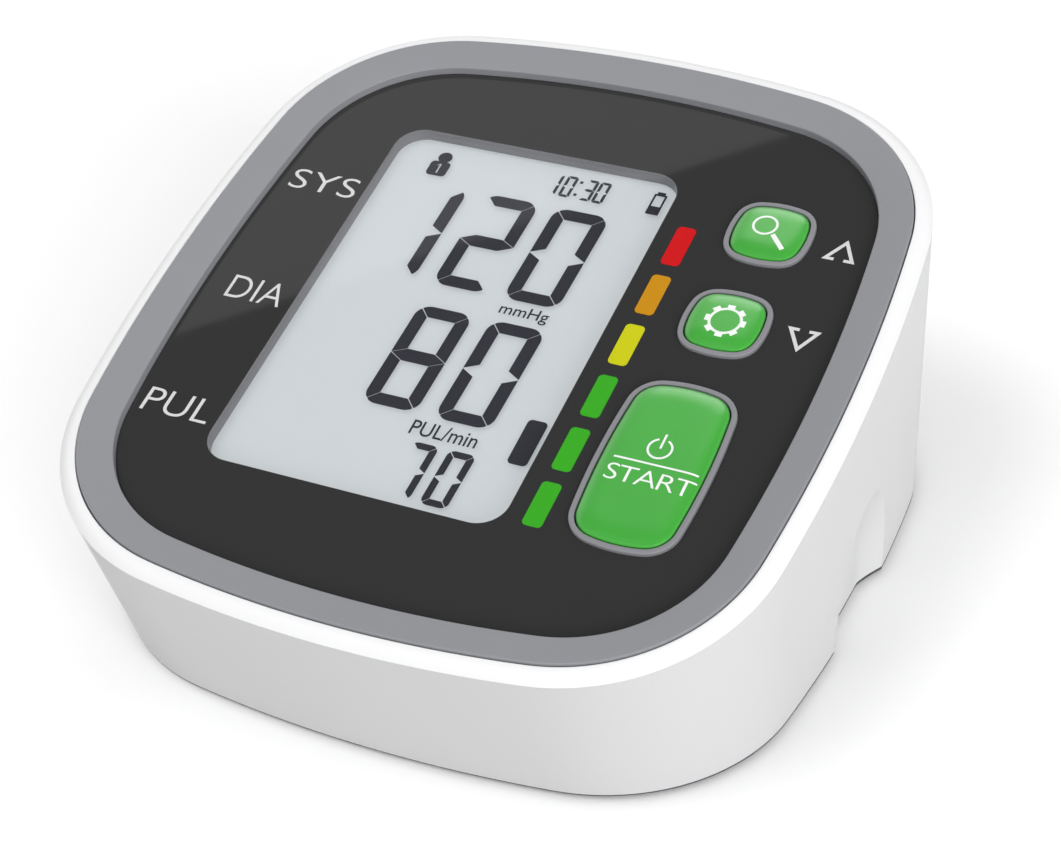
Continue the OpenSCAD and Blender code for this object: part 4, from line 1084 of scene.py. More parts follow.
@dataclass(frozen=True)
class Hole:
    """A round hole through a wall: where it starts, its direction and its radius."""

    start: Vector
    along: Vector
    radius: float
    sides: int = 96

    def cutter(self) -> bpy.types.Mesh:
        """Makes the round solid that cuts the hole."""
        work = bmesh.new()
        place = Matrix.Translation(self.start + self.along / 2)
        turn = self.along.to_track_quat("Z", "Y").to_matrix().to_4x4()
        bmesh.ops.create_cone(work, cap_ends=True, segments=self.sides, radius1=self.radius,
                              radius2=self.radius, depth=self.along.length, matrix=place @ turn)
        mesh = bpy.data.meshes.new("hole")
        work.to_mesh(mesh)
        work.free()
        return mesh


@dataclass
class Casing:
    """The upper case: sloping walls, the white rim, the grip scoops and the deck under the panel.

    foot_round rounds the walls' lower edge: shares of foot_edge, each with its share of the height.
    """

    face: Face
    rim: Outline = Outline(64.3, 68.1, 329, 221, 34.7)
    base: Outline = Outline(61.7, 63, 329, 221, 32.6)
    base_setback: float = 7.4
    low: float = 0.8
    wall: float = 2.2
    rim_edge: float = 1.1
    rim_top: float = 2.4
    rim_fullness: float = 2.2
    rim_steps: int = 16
    lip_r: float = 0.15
    band_w: float = 2.9
    groove_w: float = 3.0
    deck_top: float = -PANEL_T
    deck_under: float = -4.3
    scoop_half_w: float = 12.2
    scoop_h: float = 24.4
    scoop_d: float = 2.7
    scoop_mid: float = -0.6
    scoop_lean: float = 0.04
    scoop_fullness: float = 2.4
    scoop_floor: float = 0.5
    scoop_flank: float = 1.3
    foot_edge: float = 0.12
    foot_round: tuple[Point, ...] = ((1.0, 0.0), (0.5, 0.0012), (0.13, 0.004), (0.0, 0.008))
    counts: tuple[int, int, int] = (88, 28, 20)
    levels: int = 70
    inner_levels: int = 8
    deck_holes: list[list[Point]] = field(default_factory=list)
    wall_holes: list[Hole] = field(default_factory=list)

    def middle_y(self) -> float:
        """Gives the place of the lower edge's middle."""
        return self.face.middle_y + self.base_setback

    def foot(self, inset: float) -> list[Vector]:
        """Lists the points of the wall's lower edge."""
        points = self.base.inset(inset).points(self.counts)
        return [Vector((x, self.middle_y() + y, self.low)) for x, y in points]

    def on_face(self, inset: float, height: float) -> list[Vector]:
        """Lists the points of the rim's outline at a height over the panel."""
        return [self.face.at(x, y, height) for x, y in self.rim.inset(inset).points(self.counts)]

    def wall_ring(self, inset: float, share: float) -> list[Vector]:
        """Lists the wall's points at a share of its height."""
        return [a.lerp(b, share) for a, b in zip(self.foot(inset), self.on_face(inset, self.rim_edge))]

    def inner_ring(self, share: float) -> list[Vector]:
        """Lists the inner wall's points.

        Args:
            share: The share of its height, 1 where it meets the deck.

        Returns:
            The points.
        """
        points = []
        for a, b in zip(self.foot(self.wall), self.on_face(self.wall, self.rim_edge)):
            low, high = self.face.height(a), self.face.height(b)
            points.append(self.scooped(a.lerp(b, share * (self.deck_under - low) / (high - low))))
        return points

    def reach(self, point: Vector) -> float:
        """Measures how far a point is from a scoop's middle.

        Args:
            point: The point.

        Returns:
            The distance as a share, 1 at the scoop's edge.
        """
        y, z = point.y - self.middle_y(), point.z - self.low
        across = abs(y + self.scoop_lean * z - self.scoop_mid) / self.scoop_half_w
        up = max(0.0, z) / self.scoop_h
        return (across ** self.scoop_fullness + up ** self.scoop_fullness) ** (1 / self.scoop_fullness)

    def on_side(self, point: Vector) -> bool:
        """Tells whether a point is on a side wall, where the scoops are."""
        return abs(point.x) > self.rim.half_w / 2

    def scooped(self, point: Vector) -> Vector:
        """Presses a point of the wall inwards where a scoop is.

        Args:
            point: The point.

        Returns:
            The point's new place.
        """
        reach = self.reach(point)
        if reach >= 1 or not self.on_side(point):
            return point
        flank = max(0.0, reach - self.scoop_floor) / (1 - self.scoop_floor)
        depth = self.scoop_d * (1 - flank ** self.scoop_flank)
        return Vector((point.x - math.copysign(depth, point.x), point.y, point.z))

    def rim_rings(self) -> list[list[Vector]]:
        """Lists the rings of the rim's rounded band, from the wall's upper edge inwards."""
        rings = []
        lip = self.lip_r
        for i in range(1, self.rim_steps + 1):
            share = i / self.rim_steps
            rise = 1 - (1 - share) ** self.rim_fullness
            height = self.rim_edge + (self.rim_top - self.rim_edge) * rise
            rings.append(self.on_face(share * (self.band_w - lip), height))
        for angle in quarter(3)[1:]:
            drop = lip * (1 - math.cos(angle))
            rings.append(self.on_face(self.band_w - lip + lip * math.sin(angle), self.rim_top - drop))
        return rings

    def skin(self) -> bpy.types.Mesh:
        """Builds the shell, presses the scoops and cuts the holes for the sockets."""
        skin = Skin()
        coarse = self.inner_levels
        inner = [skin.ring(self.inner_ring(1 - i / coarse)) for i in range(coarse + 1)]
        edge = self.foot_round
        first = len(skin.points)
        outer = [skin.ring(self.wall_ring(self.foot_edge * inset, share)) for inset, share in edge]
        outer += [skin.ring(self.wall_ring(0.0, i / self.levels)) for i in range(1, self.levels + 1)]
        last = len(skin.points)
        rim = [skin.ring(ring) for ring in self.rim_rings()]
        groove = skin.ring(self.on_face(self.groove_w, self.deck_top))
        skin.stack(inner + [outer[0]])
        # The rounded foot and the wall's lowest step take finish 1, a dark grey that paints the shadow of
        # the gap under the case
        skin.stack(outer[:len(edge) + 1], finish=1)
        skin.stack([*outer[len(edge):], *rim, groove])
        lower, upper = ([skin.ring(self.face.at(x, y, height) for x, y in hole) for hole in self.deck_holes]
                        for height in (self.deck_under, self.deck_top))
        for a, b in zip(lower, upper):
            skin.band(b, a)
        skin.cap(inner[0], lower)
        skin.cap(groove, upper)
        mesh = skin.mesh("casing")
        self.press_scoops(mesh, first, last)
        cut = cut_by(mesh, [hole.cutter() for hole in self.wall_holes], slots=2)
        self.sharpen(cut)
        return cut

    def press_scoops(self, mesh: bpy.types.Mesh, first: int, last: int) -> None:
        """Cuts the scoops' edges into the wall and presses what is inside them.

        Args:
            mesh: The shell.
            first: Number of the outer wall's first point.
            last: Number after its last point.
        """
        with editing(mesh) as work:
            wall = {v for v in work.verts if first <= v.index < last and self.on_side(v.co)}
            line = set()
            for edge in list(work.edges):
                a, b = edge.verts
                near, far = self.reach(a.co) - 1, self.reach(b.co) - 1
                if a in wall and b in wall and near * far < 0:
                    line.add(bmesh.utils.edge_split(edge, a, self.crossing(a.co, b.co))[1])
            for face in list(work.faces):
                ends = [v for v in face.verts if v in line]
                if len(ends) == 2:
                    bmesh.utils.face_split(face, ends[0], ends[1])
            for vert in wall | line:
                vert.co = self.scooped(vert.co)

    def crossing(self, a: Vector, b: Vector, halvings: int = 24) -> float:
        """Finds where the scoop's edge crosses the way from one point to another.

        Args:
            a: The first point.
            b: The second point, on the other side of the edge.
            halvings: How often the stretch that holds the crossing is halved.

        Returns:
            The share of the way from a to b.
        """
        low, high = 0.0, 1.0
        inside = self.reach(a) < 1
        for _ in range(halvings):
            middle = (low + high) / 2
            if (self.reach(a.lerp(b, middle)) < 1) == inside:
                low = middle
            else:
                high = middle
        return (low + high) / 2

    def sharpen(self, mesh: bpy.types.Mesh, near: float = 1e-3) -> None:
        """Makes the scoops' edges and the holes' edges crisp.

        Args:
            mesh: The shell.
            near: How close to a scoop's edge a point counts as on it.
        """
        with editing(mesh) as work:
            soften(work, CRISP_ANGLE)
            for edge in work.edges:
                if all(abs(self.reach(v.co) - 1) < near and self.on_side(v.co) for v in edge.verts):
                    edge.smooth = False

    def dress(self) -> bpy.types.Object:
        """Makes the upper case a piece of the object."""
        return finished("casing_shell", self.skin(), [FINISHES.casing, FINISHES.painted_foot_shadow], "root",
                        ["upper_case"])


def hoop(outlines: list[list[Vector]], name: str, sharp_angle: float = CRISP_ANGLE) -> bpy.types.Mesh:
    """Makes a closed ring from the rings of its section, the last joined to the first.

    Args:
        outlines: The rings, each with the same number of points.
        name: The mesh's name.
        sharp_angle: Edges that bend more than this many degrees stay crisp.

    Returns:
        The mesh.
    """
    skin = Skin()
    rings = [skin.ring(outline) for outline in outlines]
    skin.stack([*rings, rings[0]])
    return skin.mesh(name, sharp_angle)


@dataclass
class TrimRing:
    """The grey frame round the face."""

    casing: Casing
    gap: float = 0.1
    width: float = 5.9
    outer_top: float = 2.788
    inner_top: float = 1.4
    edge_r: float = 0.3
    edge_steps: int = 6

    def section(self) -> list[Point]:
        """Lists the section as (inset, height), with rounded upper edges."""
        top = rounded_top(self.width, (self.outer_top, self.edge_r), (self.inner_top, self.edge_r),
                          self.edge_steps)
        return [(0, self.casing.deck_top), *top, (self.width, self.casing.deck_top)]

    def dress(self) -> bpy.types.Object:
        """Makes the ring a piece of the object."""
        start = self.casing.groove_w + self.gap
        rings = [self.casing.on_face(start + inset, height) for inset, height in self.section()]
        return finished("face_trim", hoop(rings, "trim"), [FINISHES.trim], "root",
                        ["trim_ring"])


# ------------------------------------------------------------------ face


# The display's window in the panel, and the hole in the deck that its frame stands in
WINDOW = Block(54.2, 80.0, 5.0, (-10.2, 0.8), steps=12)
FRAME_HOLE = Block(64.5, 92.5, 1.0, WINDOW.middle)


@dataclass(frozen=True)
class Key:
    """One key: its name, its bezel's outline and its place on the face."""

    name: str
    shape: Outline
    middle: Point
    bezel_w: float = 0.95
    bezel_h: float = 0.75
    bezel_rest: float = 0.005
    outer_r: float = 0.36
    inner_r: float = 0.16
    edge_steps: int = 5
    gap: float = 0.25
    crown_h: float = 1.5
    side_h: float = 0.45
    crown_w: float = 4.0
    crown_spread: float = 1.8
    crown_fullness: int = 3
    crown_steps: int = 14
    least_corner: float = 0.6
    flange_w: float = 0.9
    flange_low: float = -5.25
    flange_top: float = -4.45
    counts: tuple[int, int, int] = (12, 16, 12)

    def outline(self, inset: float) -> list[Point]:
        """Lists the bezel's outline, set in, at the key's place."""
        return moved(self.shape.inset(inset, self.least_corner).points(self.counts), self.middle)

    def bezel(self, face: Face) -> bpy.types.Mesh:
        """Makes the raised frame with its skirt through the panel.

        Args:
            face: The face that it stands on.

        Returns:
            The mesh in the object's frame.
        """
        skirt, rest = self.bezel_w / 2, self.bezel_rest
        top = rounded_top(self.bezel_w, (self.bezel_h, self.outer_r), (self.bezel_h, self.inner_r),
                          self.edge_steps)
        section = [(skirt, -PANEL_T), (skirt, rest), (0.0, rest), *top, (self.bezel_w, -PANEL_T)]
        rings = [[face.at(x, y, height) for x, y in self.outline(inset)] for inset, height in section]
        return hoop(rings, "bezel", sharp_angle=50)

    def cap(self) -> Skin:
        """Builds the key itself in the face's frame: flange, side and domed crown."""
        start = self.bezel_w + self.gap
        section = [(-self.flange_w, self.flange_low), (-self.flange_w, self.flange_top),
                   (0.0, self.flange_top), (0.0, self.side_h)]
        for i in range(1, self.crown_steps + 1):
            share = (i / self.crown_steps) ** self.crown_spread
            rise = (1 - (1 - share) ** self.crown_fullness) ** 0.5
            section.append((share * self.crown_w, self.side_h + (self.crown_h - self.side_h) * rise))
        skin = Skin()
        rings = [skin.ring((x, y, height) for x, y in self.outline(start + inset))
                 for inset, height in section]
        skin.stack(rings)
        skin.cap(rings[0])
        skin.face(rings[-1])
        return skin


# The two small keys share one outline, a rounder one than the start key's
SMALL_KEY = Outline(7.4, 7.2, 17, 17, 4.5)
START_KEY = Outline(9.85, 17.4, 130, 24, 5.8)
KEYS = [Key("start", START_KEY, (35.85, -20.7)), Key("memory", SMALL_KEY, (35.85, 31.65)),
        Key("settings", SMALL_KEY, (35.85, 10.65))]


# The letters beside the display are a little lighter than the built-in ones
PANEL_LABELS = (Label("SYS", (-51.97, 21.09), (-38.86, 25.81), -0.01),
                Label("DIA", (-50.27, -6.23), (-39.53, -1.11), -0.01),
                Label("PUL", (-51.85, -33.4), (-39.07, -28.39), -0.01))
START_LABEL = Label("START", (29.35, -25.88), (44.05, -22.68), -0.01, 0.88)
DISPLAY_LABELS = (Label("mmHg", (-3.19, 4.17), (5.72, 7.19)),
                  Label("PUL/min", (-6.55, -23.72), (5.42, -20.71)))


@dataclass
class FacePanel:
    """The black glossy panel with its window, its key openings and its white print."""

    face: Face
    casing: Casing
    keys: list[Key]
    inset: float = 9.1
    edge: float = 0.12
    edge_middle: float = 0.3
    opening_gap: float = 0.05
    up_at: Point = (48.7, 31.4)
    down_at: Point = (48.7, 10.8)

    def plate(self) -> bpy.types.Mesh:
        """Makes the panel with a fine bevel round its outline and its window."""
        skin = Skin()
        counts = self.casing.counts
        middle = self.edge * self.edge_middle
        bevel = [(0.0, -PANEL_T), (0.0, -self.edge), (middle, -middle), (self.edge, 0.0)]
        outer = [skin.ring((x, y, h) for x, y in self.casing.rim.inset(self.inset + d).points(counts))
                 for d, h in bevel]
        window = [skin.ring((x, y, h) for x, y in WINDOW.outline(d)) for d, h in bevel]
        openings = [[skin.ring((x, y, h) for x, y in key.outline(key.bezel_w / 2 - self.opening_gap))
                     for h in (-PANEL_T, 0.0)] for key in self.keys]
        skin.stack(outer)
        skin.stack(window, finish=1)
        for low, high in openings:
            skin.band(high, low)
        skin.cap(outer[0], [window[0], *[rings[0] for rings in openings]])
        skin.cap(outer[-1], [window[-1], *[rings[-1] for rings in openings]])
        return self.face.placed(skin.mesh("panel"))

    def triangle(self, middle: Point, sign: int) -> Skin:
        """Draws a small open triangle beside a key: two legs and a base with a gap.

        Args:
            middle: Its middle on the face.
            sign: 1 where it points up, -1 where it points down.

        Returns:
            The mark in the face's frame.
        """
        half_w, half_h, gap, apex, line = 2.35, 2.05, 0.85, 0.15, 0.62
        path = [(-gap, -half_h * sign), (-half_w, -half_h * sign), (apex, half_h * sign),
                (half_w, -half_h * sign), (gap, -half_h * sign)]
        skin = Skin()
        for piece in stroke(moved(path, middle), line):
            skin.prism(piece, -PRINT_SINK, PRINT_T)
        return skin

    def print_marks(self) -> list[bpy.types.Mesh]:
        """Makes the plain words beside the display and the triangles beside the small keys."""
        meshes = [label.mesh(-PRINT_SINK, PRINT_T) for label in PANEL_LABELS]
        meshes.append(self.triangle(self.up_at, 1).mesh("up"))
        meshes.append(self.triangle(self.down_at, -1).mesh("down"))
        return meshes

    def dress(self) -> None:
        """Makes the panel and its print pieces of the object."""
        finished("glossy_panel", self.plate(), [FINISHES.panel, FINISHES.recess], "root",
                 ["face_panel"])
        words = self.face.placed(joined(self.print_marks(), "labels"))
        finished("panel_labels", words, [FINISHES.label], "root")


@dataclass(frozen=True)
class GlassMark:
    """The memory key's mark: a magnifying glass."""

    middle: Point = (34.83, 32.5)
    radius: float = 2.03
    ring_steps: int = 40
    line: float = 0.42
    handle: tuple[Point, ...] = ((36.75, 30.75), (39.4, 27.95))
    handle_w: float = 0.82

    def strokes(self) -> list[list[Point]]:
        """Lists the outlines of the ring's and the handle's strokes."""
        ring = arc(self.middle, self.radius, 0, 360, self.ring_steps)[:-1]
        return stroke(ring, self.line, closed=True) + stroke(list(self.handle), self.handle_w)


@dataclass(frozen=True)
class PowerMark:
    """The start key's marks: a broken ring with a bar, and the rule over the word."""

    middle: Point = (35.98, -18.06)
    radius: float = 1.94
    start: float = 114
    stop: float = 426
    ring_steps: int = 36
    bar: tuple[Point, ...] = ((36.0, -18.0), (36.0, -15.05))
    line: float = 0.36
    rule: tuple[Point, ...] = ((29.49, -21.35), (43.75, -21.35))
    rule_w: float = 0.35

    def strokes(self) -> list[list[Point]]:
        """Lists the outlines of the ring's, the bar's and the rule's strokes."""
        ring = arc(self.middle, self.radius, self.start, self.stop, self.ring_steps)
        return (stroke(ring, self.line) + stroke(list(self.bar), self.line)
                + stroke(list(self.rule), self.rule_w))


@dataclass
class KeySet:
    """The three keys with their bezels and their white marks."""

    face: Face
    keys: list[Key]
    mark_step: float = 0.3

    def marks(self, key: Key) -> bpy.types.Mesh:
        """Makes a key's marks, flat on the face's plane.

        Args:
            key: The key.

        Returns:
            The mesh in the face's frame.
        """
        if key.name == "settings":
            return GearMark().mesh(FINISHES.key_label)
        skin = Skin()
        mark = GlassMark() if key.name == "memory" else PowerMark()
        for piece in mark.strokes():
            skin.prism(piece, 0, PRINT_T)
        mesh = skin.mesh("marks")
        return joined([mesh, START_LABEL.mesh(0, PRINT_T)], "marks") if key.name == "start" else mesh

    def dress(self) -> list[bpy.types.Object]:
        """Makes the keys, their bezels and marks pieces of the object, and gives back the caps."""
        caps = []
        for key in self.keys:
            finished(f"{key.name}_frame", key.bezel(self.face), [FINISHES.bezel], "root",
                     [f"{key.name}_bezel"])
            cap = key.cap()
            ground = BVHTree.FromPolygons(cap.points, cap.faces)
            body = f"{key.name}_key"
            crown = self.face.placed(cap.mesh("cap", sharp_angle=40))
            caps.append(finished(f"{key.name}_cap", crown, [FINISHES.key], body,
                                 [f"{key.name}_button"]))
            marks = self.marks(key)
            lay_on(marks, ground, key.crown_h + 1, self.mark_step)
            finished(f"{key.name}_marks", self.face.placed(marks), [FINISHES.key_label], body)
        return caps


# ------------------------------------------------------------------ display


@dataclass(frozen=True)
class DigitStyle:
    """The proportions of a seven-segment digit."""

    width: float
    height: float
    stroke: float
    corner: float
    gap: float
    slope: float = 0.55
    lean: float = 0.02
    corner_steps: int = 5

    def segments(self) -> dict[str, list[Point]]:
        """Lists the outline of each segment, a to g, about the digit's middle."""
        w, l, t, r = self.width / 2, self.height / 2, self.stroke, self.corner
        g = self.gap / math.sqrt(2)
        half_gap = self.gap / 2
        h = self.slope * t
        *right, (x, y) = arc((w - r, l - r), r, 90, 45, self.corner_steps)
        right.append((x - g, y))
        a = [*[(-x, y) for x, y in right[::-1]], *right, (w - t - g, l - t), (-w + t + g, l - t)]
        (x, y), *side = arc((w - r, l - r), r, 45, 0, self.corner_steps)
        b = [(x, y - g), *side, (w, half_gap), (w - t, half_gap + h), (w - t, l - t - g)]
        middle = [(-w + self.gap, 0), (-w + t + self.gap, h), (w - t - self.gap, h), (w - self.gap, 0),
                  (w - t - self.gap, -h), (-w + t + self.gap, -h)]
        return {"a": a, "b": b, "c": [(x, -y) for x, y in b], "d": [(x, -y) for x, y in a],
                "e": [(-x, -y) for x, y in b], "f": [(-x, y) for x, y in b], "g": middle}

    def draw(self, skin: Skin, number: int, middle: Point, low: float, high: float) -> None:
        """Adds the lit segments of a number.

        Args:
            skin: Where the segments go.
            number: The number, 0 to 9.
            middle: The digit's middle.
            low: Height of the segments' underside.
            high: Height of their top.
        """
        lit = ["abcdef", "bc", "abged", "abgcd", "fgbc", "afgcd", "afgedc", "abc", "abcdefg", "abcdfg"]
        for name in lit[number]:
            outline = [(x + y * self.lean, y) for x, y in self.segments()[name]]
            skin.prism(moved(outline, middle), low, high)


class Row(Enum):
    """The rows of digits: their style, their numbers with each middle's u, and the row's v."""

    HIGH = (DigitStyle(10.2, 22.35, 2.4, 2.6, 0.15), ((1, -25.8), (2, -11.97), (0, 1.41)), 19.47)
    LOW = (DigitStyle(10.1, 22.5, 2.4, 2.6, 0.15), ((8, -12.1), (0, 1.38)), -8.2)
    PULSE = (DigitStyle(4.8, 11.45, 1.25, 1.3, 0.14), ((7, -2.6), (0, 4.04)), -30.77)
    CLOCK = (DigitStyle(2.05, 5.1, 0.52, 0.5, 0.12), ((1, -6.2), (0, -3.5), (3, 0.45), (0, 2.83)), 36.0)


# The clock's colon, the scale's pointer and the battery sign, behind the lens
COLON = (Block(0.55, 0.55, 0.1, (-1.6, 34.45)), Block(0.55, 0.55, 0.1, (-1.6, 37.55)))
POINTER = Block(3.47, 9.45, 0.8, (13.38, -20.1))
BATTERY_BODY = Block(2.35, 4.9, 0.15, (13.22, 35.8), steps=3)
BATTERY_HOLLOW = Block(1.65, 4.2, 0.08, (13.22, 35.8), steps=3)
BATTERY_POLE = Block(1.5, 0.55, 0.05, (13.22, 38.52), steps=3)
BATTERY_CHARGE = Block(1.66, 1.6, 0.05, (13.22, 34.5), steps=3)


@dataclass(frozen=True)
class PersonSign:
    """The user sign: a head over rounded shoulders, with a light 1 in them."""

    head: Point = (-28.2, 37.15)
    head_r: float = 1.3
    head_steps: int = 40
    shoulders: Block = Block(3.8, 3.5, 0.75, (-28.32, 34.3))
    one: tuple[Point, ...] = ((0.22, -1.15), (0.22, 1.25), (-0.08, 1.25), (-0.55, 0.9), (-0.55, 0.62),
                              (-0.12, 0.88), (-0.12, -1.15))

    def draw(self, skin: Skin, low: float, high: float) -> None:
        """Adds the sign.

        Args:
            skin: Where it goes.
            low: Height of its underside.
            high: Height of its top.
        """
        skin.prism(arc(self.head, self.head_r, 0, 360, self.head_steps)[:-1], low, high)
        skin.prism(self.shoulders.outline(), low, high, [moved(self.one, self.shoulders.middle)])


@dataclass
class Display:
    """The display behind the lens: reflector, clear layer and dark characters."""

    face: Face
    lens_top: float = -0.1
    lens_low: float = -1.3
    lens_edge: float = 0.1
    lens_gap: float = 0.05
    glass: Block = Block(60.0, 88.0, 0.5, WINDOW.middle)
    glass_top: float = -2.35
    glass_low: float = -5.15
    reflector_top: float = -3.05
    layer_gap: float = 0.01
    character_t: float = 0.08
    character_lift: float = 0.002

    def lens(self) -> bpy.types.Mesh:
        """Makes the clear lens that fills the window."""
        skin = Skin()
        edge, gap = self.lens_edge, self.lens_gap
        section = [(-gap - edge, self.lens_low), (-gap, self.lens_low + edge),
                   (-gap, self.lens_top - edge), (-gap - edge, self.lens_top)]
        rings = [skin.ring((x, y, h) for x, y in WINDOW.outline(d)) for d, h in section]
        skin.stack(rings)
        skin.cap(rings[0])
        skin.cap(rings[-1])
        return self.face.placed(skin.mesh("lens"))

    def layers(self) -> bpy.types.Mesh:
        """Makes the display glass: a clear layer on a pale reflector, whose glow is painted light."""
        skin = Skin()
        slab = self.glass.outline()
        skin.prism(slab, self.glass_low, self.reflector_top, finish=0)
        skin.prism(slab, self.reflector_top + self.layer_gap, self.glass_top, finish=1)
        return self.face.placed(skin.mesh("glass"))

    def characters(self) -> bpy.types.Mesh:
        """Makes the dark characters: digits, small words, pictures and the scale's pointer."""
        low = self.glass_top + self.character_lift
        high = low + self.character_t
        skin = Skin()
        for row in Row:
            style, numbers, v = row.value
            for number, u in numbers:
                style.draw(skin, number, (u, v), low, high)
        for block in (*COLON, POINTER, BATTERY_POLE, BATTERY_CHARGE):
            skin.prism(block.outline(), low, high)
        skin.prism(BATTERY_BODY.outline(), low, high, [BATTERY_HOLLOW.outline()])
        PersonSign().draw(skin, low, high)
        meshes = [skin.mesh("characters"), *[label.mesh(low, high) for label in DISPLAY_LABELS]]
        return self.face.placed(joined(meshes, "characters"))

    def dress(self) -> None:
        """Makes the display's parts pieces of the object."""
        finished("window_lens", self.lens(), [FINISHES.lens], "root", ["lcd_lens"])
        finished("display_glass", self.layers(), [FINISHES.reflector, FINISHES.clear_layer], "root",
                 ["lcd_glass"])
        finished("display_characters", self.characters(), [FINISHES.character], "root",
                 ["lcd_segments"])


@dataclass
class ColourScale:
    """The column of printed bars beside the display."""

    face: Face
    top: Point = (21.8, 25.3)
    bars: BarRow = BarRow()

    def dress(self) -> None:
        """Makes each colour's bars a piece of the object."""
        runs = [("red", 0, 1, FINISHES.red), ("orange", 1, 1, FINISHES.orange),
                ("yellow", 2, 1, FINISHES.yellow), ("green", 3, 3, FINISHES.green)]
        for name, first, count, finish in runs:
            start = (self.top[0], self.top[1] - first * self.bars.pitch)
            mesh = self.face.placed(self.bars.mesh(start, count, finish))
            finished(f"bars_{name}", mesh, [finish], "root", [f"scale_{name}"])


# ------------------------------------------------------------------ studio


@dataclass(frozen=True)
class Lamp:
    """A large soft light far away: the way to it, its share of the light and its width in degrees."""

    name: str
    towards: tuple[float, float, float]
    share: float
    width: float

    def hang(self, shine_on: Iterable[bpy.types.Object] = ()) -> None:
        """Adds the light to the scene, unseen in the panel's gloss.

        Args:
            shine_on: The only pieces that it lights, and only in their gloss; all where empty.
        """
        data = bpy.data.lights.new(self.name, "SUN")
        data.energy = self.share * math.pi
        data.angle = math.radians(self.width)
        lamp = in_scene(self.name, data)
        lamp.matrix_world = Vector(self.towards).to_track_quat("Z", "Y").to_matrix().to_4x4()
        pieces = list(shine_on)
        lamp.visible_glossy = bool(pieces)
        lamp.visible_diffuse = not pieces
        if pieces:
            only = bpy.data.collections.new(f"{self.name}_pieces")
            for piece in pieces:
                only.objects.link(piece)
            lamp.light_linking.receiver_collection = only


